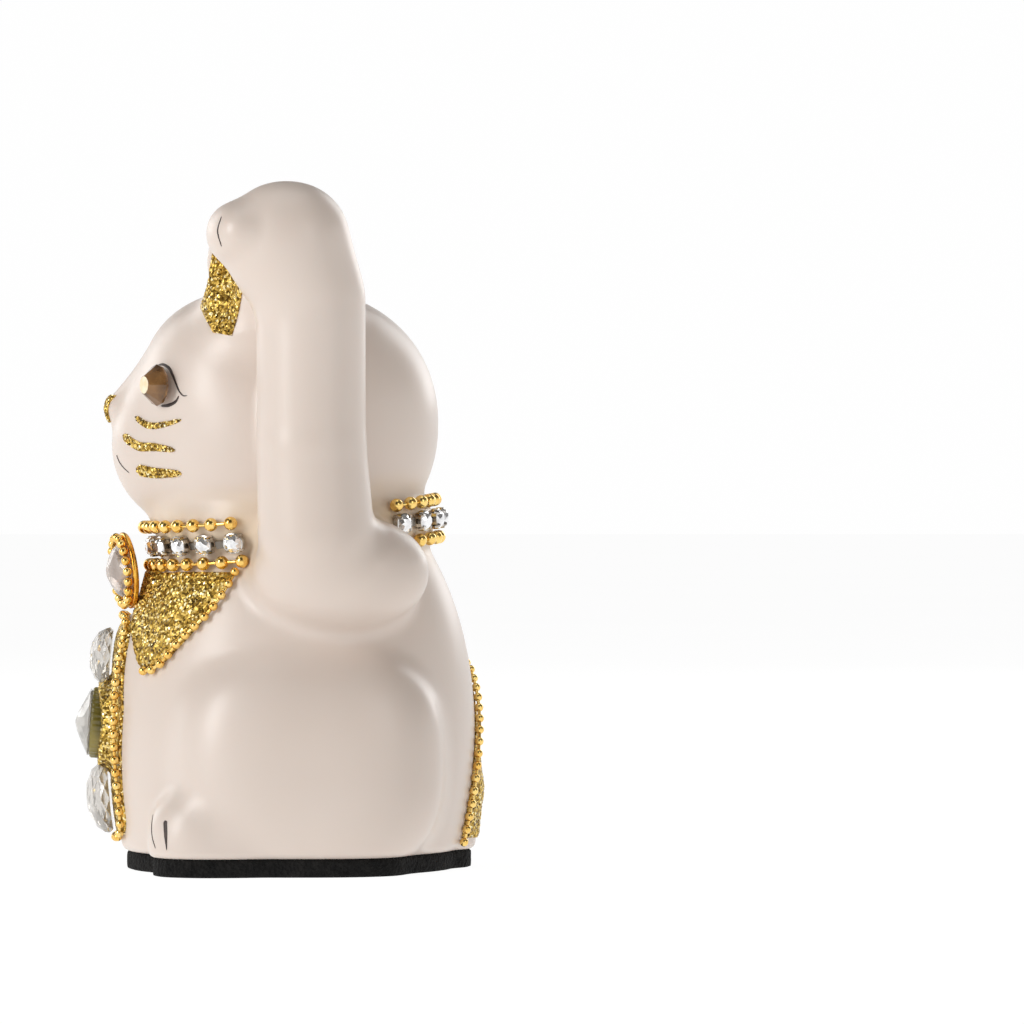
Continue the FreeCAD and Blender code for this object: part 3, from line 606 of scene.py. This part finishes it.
def spline(points, t):
    """A smooth curve through a few points, for parameters from 0 to 1."""
    points = np.array(points, float)
    t = np.asarray(t, float)
    lengths = np.linalg.norm(np.diff(points, axis=0), axis=1)
    knots = np.concatenate([[0], np.cumsum(lengths)]) / lengths.sum()
    slopes = np.gradient(points, knots, axis=0)
    i = np.clip(np.searchsorted(knots, t, side="right") - 1, 0, len(points) - 2)
    width = knots[i + 1] - knots[i]
    s = ((t - knots[i]) / width)[..., None]
    width = width[..., None]
    return ((2 * s ** 3 - 3 * s ** 2 + 1) * points[i] + (s ** 3 - 2 * s ** 2 + s) * width * slopes[i]
            + (3 * s ** 2 - 2 * s ** 3) * points[i + 1] + (s ** 3 - s ** 2) * width * slopes[i + 1])


def from_axis(angle, z, x=0.0, y=MIDDLE_Y):
    """Where the skin is met going out level from an upright line, at an angle in degrees."""
    a = np.radians(angle)
    start = np.stack([np.full_like(a, x), np.full_like(a, y), z], -1)
    return march(start, np.stack([np.cos(a), np.sin(a), np.zeros_like(a)], -1), outward=True)


def from_front(x, z):
    return march(np.stack([x, np.full_like(x, -FAR_OUT), z], -1), np.array([0, 1.0, 0]))


def from_back(x, z):
    return march(np.stack([x, np.full_like(x, FAR_OUT), z], -1), np.array([0, -1.0, 0]))


def from_side(y, z, side, field=shown_body_distance):
    start = np.stack([np.full_like(y, FAR_OUT * side), y, z], -1)
    return march(start, np.array([-1.0 * side, 0, 0]), field)


def glitter(name, spot, size_u, size_v, node, thickness=0.55, grain=GRAIN, heap=None):
    """A crust of glitter over spot(u, v), about size_u by size_v, whose every grain is a facet."""
    rng = np.random.default_rng(sum(map(ord, name)))
    rows = max(4, round(size_u / grain))
    columns = max(4, round(size_v / grain))
    u, v = np.meshgrid(np.linspace(0, 1, rows), np.linspace(0, 1, columns), indexing="ij")
    inner = np.zeros((rows, columns), bool)
    inner[1:-1, 1:-1] = True
    u = u + rng.uniform(-GRAIN_SHIFT, GRAIN_SHIFT, u.shape) / rows * inner
    v = v + rng.uniform(-GRAIN_SHIFT, GRAIN_SHIFT, v.shape) / columns * inner
    foot = spot(u, v)
    up = normals_at(foot, shown_body_distance)
    rim = np.minimum(np.minimum(u, 1 - u) * size_u, np.minimum(v, 1 - v) * size_v)
    crown = RIM_SHARE + (1 - RIM_SHARE) * np.sqrt(np.clip(rim / GLITTER_EDGE, 0, 1))
    lift = GLUE + (thickness - GRAIN_LIFT) * crown + rng.uniform(-1, 1, u.shape) * GRAIN_LIFT
    if heap:
        lift += heap(foot)
    top = foot + up * lift[..., None]
    under = foot - up * GLUE
    index = np.arange(rows * columns).reshape(rows, columns)
    base = rows * columns
    faces = []
    for i in range(rows - 1):
        for j in range(columns - 1):
            a, b, c, d = index[i, j], index[i + 1, j], index[i + 1, j + 1], index[i, j + 1]
            faces += [[a, b, c], [a, c, d]] if rng.random() < 0.5 else [[a, b, d], [b, c, d]]
            faces.append([base + d, base + c, base + b, base + a])
    rim_loop = list(index[:, 0]) + list(index[-1, 1:]) + list(index[-2::-1, -1]) + list(index[0, -2:0:-1])
    for a, b in zip(rim_loop, rim_loop[1:] + rim_loop[:1]):
        faces.append([b, a, base + a, base + b])
    points = np.concatenate([top.reshape(-1, 3), under.reshape(-1, 3)])
    first = points[faces[0]]
    facing = np.dot(np.cross(first[1] - first[0], first[2] - first[0]), up[0, 0])
    if facing < 0:
        faces = [f[::-1] for f in faces]
    piece(name, points, faces, GLITTER, (node,), smooth=False)


def mirrored(angle, side):
    """An angle for the left side, taken to the right side if side is -1."""
    return angle if side > 0 else -180 - angle


# each half of the neckerchief: its top edge, middle and lower edge as (angle round the neck, z)
BIB_TOP = [(-89.4, 52.5), (-66, 52.5), (-44, 52.7), (-20.9, 52.7)]
BIB_MIDDLE = [(-89.4, 50.9), (-74, 48.6), (-53, 46.0), (-30.0, 45.3)]
BIB_BOTTOM = [(-89.4, 49.2), (-80, 47.6), (-72.5, 43.8), (-66.5, 40.4), (-62, 37.0), (-55, 35.4),
              (-46.6, 36.9)]
GLUE_BED = (4.3, 50.6, 6.4, 1.5)    # glue under the pendant: x and z of its middle, reach and depth
BED_SLOPE = 1.6          # how steeply it falls away; above 1 it has a flat top


def bandana(side, name):
    def spot(u, v):
        a, b, c = spline(BIB_TOP, u), spline(BIB_MIDDLE, u), spline(BIB_BOTTOM, u)
        w = v[..., None]
        mixed = a * (1 - w) * (1 - 2 * w) + b * 4 * w * (1 - w) + c * w * (2 * w - 1)
        return from_axis(mirrored(mixed[..., 0], side), mixed[..., 1])

    def heap(foot):
        across, level, reach, depth = GLUE_BED
        far = np.hypot(foot[..., 0] - across, foot[..., 2] - level) / reach
        return depth * np.clip(BED_SLOPE - BED_SLOPE * far, 0, 1)
    glitter(name + "_bandana", spot, 30, 13, name + "_bandana_glitter", heap=heap)


BELLY_LOW = 5.9
BELLY_HIGH = 44.3
BELLY_HALF = 9.5
BELLY_CORNER = 4.5
BELLY_SIDE = 1.1         # how far the glitter runs on under the edging at each side
BELLY_END = 0.4          # and how far it stops short of the panel's top and bottom
MOUND = (25.6, 7.4, 2.2)    # glue heaped round the middle disc: height of its centre, reach and depth
MOUND_FOOT = 1.6         # how wide the mound's sloping edge is


def belly_panel():
    def spot(u, v):
        z = BELLY_LOW + BELLY_END + v * (BELLY_HIGH - BELLY_LOW - 2 * BELLY_END)
        end = np.maximum(0.0, BELLY_CORNER - np.minimum(z - BELLY_LOW, BELLY_HIGH - z)) / BELLY_CORNER
        half = BELLY_HALF + BELLY_SIDE - BELLY_CORNER * (1 - np.sqrt(1 - end * end))
        return from_front((2 * u - 1) * half, z)

    def heap(foot):
        level, reach, depth = MOUND
        away = np.hypot(foot[..., 0], foot[..., 2] - level)
        return depth * np.clip((reach + MOUND_FOOT - away) / MOUND_FOOT, 0, 1) ** 1.5
    glitter("belly_panel", spot, 21, 38, "belly_glitter_panel", heap=heap)


# each whisker: its middle line as (y, z) seen from the side, and its width
WHISKERS = {"upper": ([(-28.2, 79.9), (-25.7, 78.5), (-22.8, 78.7), (-20.0, 79.4)], 1.1),
            "middle": ([(-30.4, 76.7), (-27.6, 74.9), (-24.7, 74.7), (-21.1, 74.1)], 1.5),
            "lower": ([(-28.0, 70.8), (-24.7, 70.2), (-21.9, 70.1), (-20.0, 70.0)], 1.7)}

INNER_SHARE = 1.15       # width of a whisker's inner end, as a share of its width
TAPER = 0.6              # how much of that share is lost by its outer end
END_ROUNDING = 12        # how quickly its ends round off, from almost nothing
END_WIDTH = 0.08


def whisker(side, side_name, row):
    line, width = WHISKERS[row]

    def spot(u, v):
        centre = spline(line, u)
        rounded = np.clip(END_ROUNDING * u * (1 - u) + END_WIDTH, END_WIDTH, 1)
        half = width / 2 * (INNER_SHARE - TAPER * u * u) * np.sqrt(rounded)
        return from_side(centre[..., 0], centre[..., 1] + (2 * v - 1) * half, side)
    name = f"{side_name}_{row}_whisker"
    glitter(name + "_stroke", spot, 10, 1.6, name, thickness=0.42, grain=0.22)


NOSE_LOW = 79.3
NOSE_HIGH = 84.0
NOSE_HALF = 2.1          # at its top
NOSE_FOOT = 0.5          # its width at the bottom, as a share of that at the top


def nose():
    def spot(u, v):
        half = NOSE_HALF * (NOSE_FOOT + (1 - NOSE_FOOT) * v)
        return from_front((2 * u - 1) * half, NOSE_LOW + (NOSE_HIGH - NOSE_LOW) * v)
    glitter("nose_patch", spot, 4, 4.6, "nose_glitter", thickness=0.5, grain=0.2)


EAR_AXIS = (16.0, -5.0)  # x and y of an upright line inside the left ear
# the glitter's inner and outer edge as (angle round that line, z)
EAR_INNER = [(-60, 94.6), (-76, 97.4), (-93, 100.4), (-82, 103.6), (-74, 107.2), (-66, 110.8)]
EAR_OUTER = [(-38, 94.0), (-32, 97.4), (-27, 100.8), (-24, 104.4), (-30, 108.2), (-50, 111.4)]


def ear(side, name):
    def spot(u, v):
        inner, outer = spline(EAR_INNER, v), spline(EAR_OUTER, v)
        aim = inner + (outer - inner) * u[..., None]
        return from_axis(mirrored(aim[..., 0], side), aim[..., 1], side * EAR_AXIS[0], EAR_AXIS[1])
    glitter(name + "_ear_patch", spot, 13, 19, name + "_ear_glitter")


# the tail's middle line as (x, z) seen from behind, and its half width at each of those points
TAIL_MIDDLE = [(0.1, 5.2), (-0.2, 12.0), (-2.2, 20.0), (-6.0, 27.5), (-10.4, 33.2)]
TAIL_HALF = [6.3, 6.3, 6.0, 5.4, 3.6]
TAIL_FILL = 0.97         # the glitter's half width, as a share of the tail's
TAIL_CAP = 2.3           # how far the rounded top reaches beyond the middle line's end
TAIL_STEP = 0.02         # how far either side of a spot the line's direction is taken


def tail():
    def spot(u, v):
        middle = spline(TAIL_MIDDLE, v)
        after = spline(TAIL_MIDDLE, np.minimum(v + TAIL_STEP, 1))
        run = after - spline(TAIL_MIDDLE, np.maximum(v - TAIL_STEP, 0))
        run /= np.linalg.norm(run, axis=-1, keepdims=True)
        half = spline([(h, i) for i, h in enumerate(TAIL_HALF)], v)[..., 0] * (2 * u - 1) * TAIL_FILL
        cap = TAIL_CAP * np.sqrt(np.clip(4 * u * (1 - u), 0, 1)) * v ** 4
        return from_back(middle[..., 0] + run[..., 1] * half + run[..., 0] * cap,
                         middle[..., 1] - run[..., 0] * half + run[..., 1] * cap)
    glitter("tail_patch", spot, 11, 30, "tail_glitter")


# ======== chains ========

LARGE_BEAD = (24, 13)    # sides, and rings from one hole to the other
SMALL_BEAD = (16, 9)
HOLE = 0.16              # radius of the dimple's floor, as a share of the bead's
HOLE_FLOOR = 0.90        # and how far that floor is from the bead's middle
ANY_DIRECTION = (0.3, 0.2, 1.0)    # across a bead, which is round, so its turn doesn't show


def bead_shape(radius, sides, rings):
    """A ball with a dimple where the wire enters at each end."""
    arc = [math.pi * (0.085 + 0.83 * i / (rings - 1)) for i in range(rings)]
    profile = [(radius * HOLE, -radius * HOLE_FLOOR)]
    profile += [(radius * math.sin(a), -radius * math.cos(a)) for a in arc]
    profile += [(radius * HOLE, radius * HOLE_FLOOR)]
    return turned(profile, sides)


def bead_strand(name, beads_node, links_node, detail):
    """Beads where the CAD has them, each turned to point at the nearest wire."""
    wires = np.array([c for c, _ in islands(links_node)])
    shapes = []
    for centre, ball in islands(beads_node):
        radius = (ball.max(0) - ball.min(0)).max() / 2
        toward = wires[np.argmin(np.linalg.norm(wires - centre, axis=1))] - centre
        shapes.append(placed(bead_shape(radius, *detail), centre, toward, ANY_DIRECTION))
    points, faces = merged(shapes)
    piece(name, points, faces, GOLD, (beads_node,))


# ======== stones ========

CUP_HALF = 1.85
CUP_WALL = 1.3
CUP_SINK = 0.85          # from the middle of the cup's CAD solid down to its back
STONE_RADIUS = 1.66
STONE_DEPTH = 1.0        # below the girdle
STONE_CROWN = 0.75       # and above it
STONE_TABLE = 0.52       # the flat top's share of the radius
GIRDLE_UP = 1.35         # the girdle's height over the cup's back
CHAIN_LEAN = (1, 1, 0.4)    # flattens the skin's normal, since the chain hangs nearly upright


def brilliant(radius, depth, crown, table):
    """A round cut stone: pointed back, narrow girdle, two rows of crown facets and a flat table."""
    profile = [(radius * 0.06, -depth), (radius * 0.62, -depth * 0.42), (radius, -0.06), (radius, 0.06),
               (radius * (table + 0.24), crown * 0.62), (radius * table, crown)]
    return turned(profile, 8, star=0.5)


def chaton_cup(half, height):
    """A pressed metal cup: a round wall, hollow above, and four claws bent over the stone."""
    wall = [(half * 0.62, 0), (half * 0.96, 0.05), (half, 0.3), (half, height), (half * 0.9, height + 0.08),
            (half * 0.84, height), (half * 0.8, 0.5), (half * 0.3, 0.3)]
    shapes = [turned(wall, 24)]
    for quarter in range(4):
        a = math.pi / 4 + quarter * math.pi / 2
        claw = turned([(0.26, 0), (0.34, height * 0.7), (0.30, height + 0.35), (0.16, height + 0.52)], 8)
        points = np.array(claw[0])
        lean = np.clip((points[:, 2] - height * 0.7) / height, 0, 1) * 0.45
        reach = half - 0.02 - lean
        points[:, 0] += math.cos(a) * reach
        points[:, 1] += math.sin(a) * reach
        shapes.append((points, claw[1]))
    return merged(shapes)


def cup_chain():
    cups = [c for c, _ in islands("collar_stone_cups")]
    stones = [c for c, _ in islands("collar_rhinestones")]
    stone_cut = brilliant(STONE_RADIUS, STONE_DEPTH, STONE_CROWN, STONE_TABLE)
    metal, glass = [], []
    for stone in stones:
        cup = cups[int(np.argmin([np.linalg.norm(c - stone) for c in cups]))]
        neighbour = sorted(stones, key=lambda s: np.linalg.norm(s - stone))[1]
        line = neighbour - stone
        out = normals_at(stone[None], body_distance)[0] * CHAIN_LEAN
        line = line - out * np.dot(line, out) / np.dot(out, out)
        out = out / np.linalg.norm(out)
        base = cup - out * CUP_SINK
        metal.append(placed(chaton_cup(CUP_HALF, CUP_WALL), base, out, line))
        glass.append(placed(stone_cut, base + out * GIRDLE_UP, out, line))
    points, faces = merged(metal)
    piece("stone_cups", points, faces, SILVER, ("collar_stone_cups",), smooth=False)
    points, faces = merged(glass)
    piece("collar_stones", points, faces, FOILED, ("collar_rhinestones",), smooth=False)


def stand_facing(node, out):
    """The middle of the back of a turned CAD piece that faces this way, its radius and its height."""
    _, points = islands(node)[0]
    reach = points @ out
    low = points[reach < reach.min() + 0.05]
    back = (low.min(0) + low.max(0)) / 2
    side = points - back - np.outer((points - back) @ out, out)
    return back, np.linalg.norm(side, axis=1).max(), reach.max() - reach.min()


def stand(node):
    """The same for a stone on the belly, with the way it faces: straight out from the skin."""
    centre, _ = islands(node)[0]
    foot = from_front(centre[0:1], centre[2:3])
    out = normals_at(foot, body_distance)[0]
    back, radius, height = stand_facing(node, out)
    return back, out, radius, height


# the cut of each belly stone as shares of its radius and of its height above the girdle
DOME_CUT = [(0.80, 0.52), (0.46, 0.92), (0.28, 1.0)]
POINT_CUT = [(0.62, 0.46), (0.28, 0.84), (0.05, 1.0)]


def belly_stones():
    cuts = {"belly_upper_crystal": (10, DOME_CUT, 0.36), "belly_lower_crystal": (10, DOME_CUT, 0.36),
            "belly_middle_crystal": (12, POINT_CUT, 0.14)}
    for node, (sides, cut, share) in cuts.items():
        back, out, radius, height = stand(node)
        girdle = height * share
        profile = [(radius * 0.95, 0.02), (radius, girdle * 0.5), (radius, girdle)]
        profile += [(radius * r, girdle + (height - girdle) * h) for r, h in cut]
        points, faces = placed(turned(profile, sides, star=0.5), back, out, (1, 0, 0))
        piece(node + "_cut", points, faces, CAST_GLASS, (node,), smooth=False)


FLUTES = 36
FLUTE_DEPTH = 0.014      # as a share of the radius, to either side of its mean


def middle_base():
    """A thick fluted disc under the middle stone."""
    back, out, radius, height = stand("belly_middle_base")
    profile = [(radius - 0.12, 0), (radius, 0.3), (radius, height * 0.5), (radius, height - 0.3),
               (radius - 0.25, height)]
    points, faces = turned(profile, FLUTES * 4)
    points = np.array(points)
    angle = np.arctan2(points[:, 1], points[:, 0])
    points[:, :2] *= (1 - FLUTE_DEPTH * (1 + np.cos(FLUTES * angle)))[:, None]
    points, faces = placed((points, faces), back, out, (1, 0, 0))
    piece("belly_middle_disc", points, faces, OLIVE, ("belly_middle_base",))


BACK_GAP = 0.06          # between the backing and the rim beads


def pendant():
    """A cast dish with beads round its rim and a low cut stone, all on the axis of the ring of beads."""
    rim = np.array([c for c, _ in islands("pendant_rim_beads")])
    middle = rim.mean(0)
    out = np.linalg.svd(rim - middle)[2][2]
    out = -out * np.sign(out[1])
    points = islands("pendant_backing")[0][1] - middle
    reach = points @ out
    radius = np.linalg.norm(points - np.outer(reach, out), axis=1).max()
    back, thick = middle + out * reach.min(), reach.max() - reach.min()
    dish = [(radius * 0.55, 0.0), (radius * 0.86, 0.05), (radius * 0.97, 0.3), (radius, 0.62),
            (radius, thick - 0.22), (radius * 0.985, thick - 0.05), (radius * 0.9, thick),
            (radius * 0.8, thick - 0.1)]
    made, faces = placed(turned(dish, 72), back, out, (1, 0, 0))
    piece("pendant_dish", made, faces, GOLD_CAST, ("pendant_backing",))
    bead = -reach.max() - BACK_GAP
    shapes = [placed(bead_shape(bead, *SMALL_BEAD), c, np.cross(out, c - middle), out) for c in rim]
    made, faces = merged(shapes)
    piece("pendant_beads", made, faces, GOLD, ("pendant_rim_beads",))
    foot, stone, height = stand_facing("pendant_crystal", out)
    profile = [(stone * 0.92, 0), (stone, 0.5), (stone * 0.95, 0.9), (stone * 0.8, 1.7), (stone * 0.52, 2.5),
               (stone * 0.22, height)]
    made, faces = placed(turned(profile, 14, star=0.5), foot, out, (1, 0, 0))
    piece("pendant_stone", made, faces, GREY_GLASS, ("pendant_crystal",), smooth=False)


EYE_FACING = -60.0       # degrees round from +X, which is 30 outwards from straight ahead
EYE_TABLE = 1.55         # radius of the flat end


def eye(side, name):
    """A smoky stone set with its narrow end outwards. Its flat end shows the pale foil behind."""
    a = math.radians(mirrored(EYE_FACING, side))
    out = np.array([math.cos(a), math.sin(a), 0])
    back, radius, height = stand_facing(name + "_eye_crystal", out)
    profile = [(radius * 0.96, 0.02), (radius, 0.28), (radius, 0.5), (radius * 0.93, 0.75),
               (EYE_TABLE + 0.07, height - 0.04), (EYE_TABLE, height)]
    made, faces = placed(turned(profile, 12), back, out, (0, 0, 1))
    stone = piece(name + "_eye_stone", made, faces, TOPAZ, (name + "_eye_crystal",),
                  smooth=False)
    stone.data.materials.append(TABLE)
    stone.data.polygons[len(stone.data.polygons) - 1].material_index = 1


# ======== painted lines ========

PAINT_RISE = 0.05        # how far the paint stands out, and how far its edges run in


def stroke(name, path, widths, side, field=shown_body_distance):
    """A thin line of paint along (y, z) points seen from the side. It has a width at each point."""
    samples = 12 * len(path)
    t = np.linspace(0, 1, samples)
    line = spline(path, t)
    points = from_side(line[:, 0], line[:, 1], side, field)
    up = normals_at(points, field)
    run = np.gradient(points, axis=0)
    across = np.cross(up, run)
    across /= np.linalg.norm(across, axis=1, keepdims=True)
    half = np.interp(t, np.linspace(0, 1, len(widths)), widths)[:, None] / 2
    half = half * np.sqrt(np.clip(np.minimum(t, 1 - t) * 20, 0.05, 1))[:, None]
    edge, flat, rise = across * half, across * half * 0.8, up * PAINT_RISE
    made = np.concatenate([points + edge - rise, points + flat + rise, points - flat + rise,
                           points - edge - rise])
    faces = []
    for i in range(samples - 1):
        for j in range(4):
            k = (j + 1) % 4
            faces.append([j * samples + i, k * samples + i, k * samples + i + 1, j * samples + i + 1])
    faces.append([0, 3 * samples, 2 * samples, samples])
    faces.append([samples - 1, 2 * samples - 1, 3 * samples - 1, 4 * samples - 1])
    piece(name, made, faces, PAINT)


UPPER_LID = [(-24.6, 88.9), (-23.4, 89.2), (-22.2, 88.5), (-21.5, 87.2), (-20.9, 85.7), (-20.2, 84.2),
             (-19.6, 83.6), (-18.9, 83.6)]
LOWER_LID = [(-23.6, 81.9), (-22.2, 82.0), (-20.9, 82.7), (-20.4, 83.6)]
MOUTH = [(-31.75, 73.4), (-31.3, 72.3), (-30.4, 71.1), (-29.4, 70.2)]
THIN_CLAW = [(-24.8, 10.7), (-25.0, 9.0), (-24.9, 7.0), (-24.3, 5.0)]
THICK_CLAW = [(-22.6, 9.9), (-22.5, 7.6), (-22.3, 4.8)]
PAW_CLAW = [(-12.7, 113.8), (-13.35, 111.4), (-12.7, 108.7)]


def painted_lines():
    for side, name in ((1, "left"), (-1, "right")):
        stroke(name + "_upper_lid", UPPER_LID, (0.3, 0.5, 0.62, 0.62, 0.5, 0.42, 0.34, 0.2), side)
        stroke(name + "_lower_lid", LOWER_LID, (0.45, 0.7, 0.62, 0.3), side)
        stroke(name + "_mouth", MOUTH, (0.5, 0.35, 0.3, 0.2), side)
        stroke(name + "_thin_claw", THIN_CLAW, (0.2, 0.32, 0.3, 0.2), side)
        stroke(name + "_thick_claw", THICK_CLAW, (1.0, 0.85, 0.15), side)
    stroke("raised_paw_claw", PAW_CLAW, (0.22, 0.42, 0.25), 1, raised_arm_distance)


# ======== carried-over CAD pieces ========

def finish_cad_node(node, finish):
    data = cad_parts[node].data
    data.materials.clear()
    data.materials.append(finish)


ceramic()
pad()
for sign, side_name in ((1, "left"), (-1, "right")):
    bandana(sign, side_name)
    ear(sign, side_name)
    eye(sign, side_name)
    for row_name in WHISKERS:
        whisker(sign, side_name, row_name)
    bead_strand(side_name + "_bandana_edging", side_name + "_bandana_beads",
                side_name + "_bandana_links", SMALL_BEAD)
    finish_cad_node(side_name + "_bandana_links", GOLD)
belly_panel()
nose()
tail()
bead_strand("belly_edging", "belly_border_beads", "belly_border_links", SMALL_BEAD)
bead_strand("tail_edging", "tail_border_beads", "tail_border_links", SMALL_BEAD)
bead_strand("collar_upper_chain", "collar_upper_beads", "collar_upper_links", LARGE_BEAD)
bead_strand("collar_lower_chain", "collar_lower_beads", "collar_lower_links", LARGE_BEAD)
for links in ("belly_border_links", "tail_border_links", "collar_upper_links", "collar_lower_links"):
    finish_cad_node(links, GOLD)
# the links between the stone cups get that near-black silver, painted shade for the gaps between them
finish_cad_node("collar_cup_links", SHADE_DARK_SILVER)
cup_chain()
belly_stones()
middle_base()
pendant()
painted_lines()


# ======== stage, light and camera ========

def stage():
    """A wide white sheet that glows, like a light table."""
    made, shader = material("white_sheet", Roughness=1.0, Specular_IOR_Level=0.0, Emission_Strength=0.95)
    shader.inputs["Emission Color"].default_value = (1, 1, 1, 1)
    cloud = noise(made, position(made), 3.0, 2.0)
    tone = ramp(made, cloud, [(0.3, (0.11, 0.11, 0.11)), (0.7, (0.13, 0.13, 0.13))])
    link(made, tone.outputs[0], shader.inputs["Base Color"])
    bpy.ops.mesh.primitive_plane_add(size=30, location=(0, 0, 0))
    floor = bpy.context.object
    floor.name = "floor"
    floor.data.materials.append(made)


MIDDLE_UP = 0.06         # about half the cat's height, in metres


def area(name, place, size, power):
    lamp = bpy.data.lights.new(name, "AREA")
    lamp.shape = "RECTANGLE"
    lamp.size, lamp.size_y = size
    lamp.energy = power
    made = bpy.data.objects.new(name, lamp)
    made.location = place
    aim = Vector((0, 0, MIDDLE_UP)) - Vector(place)
    made.rotation_euler = aim.to_track_quat("-Z", "Y").to_euler()
    bpy.context.scene.collection.objects.link(made)


def lights():
    area("key", (0.7, -1.05, 0.5), (0.4, 0.8), 8.5)
    area("side_fill", (0.95, 0.7, 0.5), (0.45, 0.7), 1.6)
    area("back_fill", (-0.9, 0.6, 0.5), (0.5, 0.7), 2.6)
    area("front_fill", (-0.9, -0.8, 0.5), (0.5, 0.7), 2.0)
    area("top", (0.0, 0.0, 1.4), (1.0, 1.0), 3.0)
    world = bpy.data.worlds.new("studio")
    bpy.context.scene.world = world
    world.use_nodes = True
    sky = world.node_tree.nodes["Background"]
    # white walls, darker towards +X, and a dark ceiling for the metal and glass to reflect
    where = add(world, "ShaderNodeTexCoord").outputs["Generated"]
    split = add(world, "ShaderNodeSeparateXYZ", {"Vector": where})
    walls = ramp(world, split.outputs["Z"], [(0.20, (0.995, 0.995, 0.995)), (0.36, (0.16, 0.155, 0.15))])
    aside = ramp(world, split.outputs["X"], [(0.15, (1, 1, 1)), (0.75, (0.42, 0.405, 0.39))])
    both = add(world, "ShaderNodeMix", {"Factor": 1.0, 6: walls.outputs[0], 7: aside.outputs[0]},
               data_type="RGBA", blend_type="MULTIPLY")
    link(world, both.outputs[2], sky.inputs["Color"])
    bpy.context.scene.view_settings.view_transform = "Standard"


CAMERA_AWAY = 1.0        # this and the next two in metres, the lens in millimetres
CAMERA_UP = 0.0633
AIM_Y = 0.0386           # behind the cat's middle
LENS = 196.9


def camera():
    """Square on to the cat's left side, level with about half its height, aimed past its back."""
    data = bpy.data.cameras.new("camera")
    data.sensor_width = 36.0
    data.lens = LENS
    made = bpy.data.objects.new("camera", data)
    made.location = (CAMERA_AWAY, 0.0, CAMERA_UP)
    aim = Vector((0, AIM_Y, CAMERA_UP)) - made.location
    made.rotation_euler = aim.to_track_quat("-Z", "Y").to_euler()
    bpy.context.scene.collection.objects.link(made)
    bpy.context.scene.camera = made


stage()
lights()
camera()
bpy.context.view_layer.update()
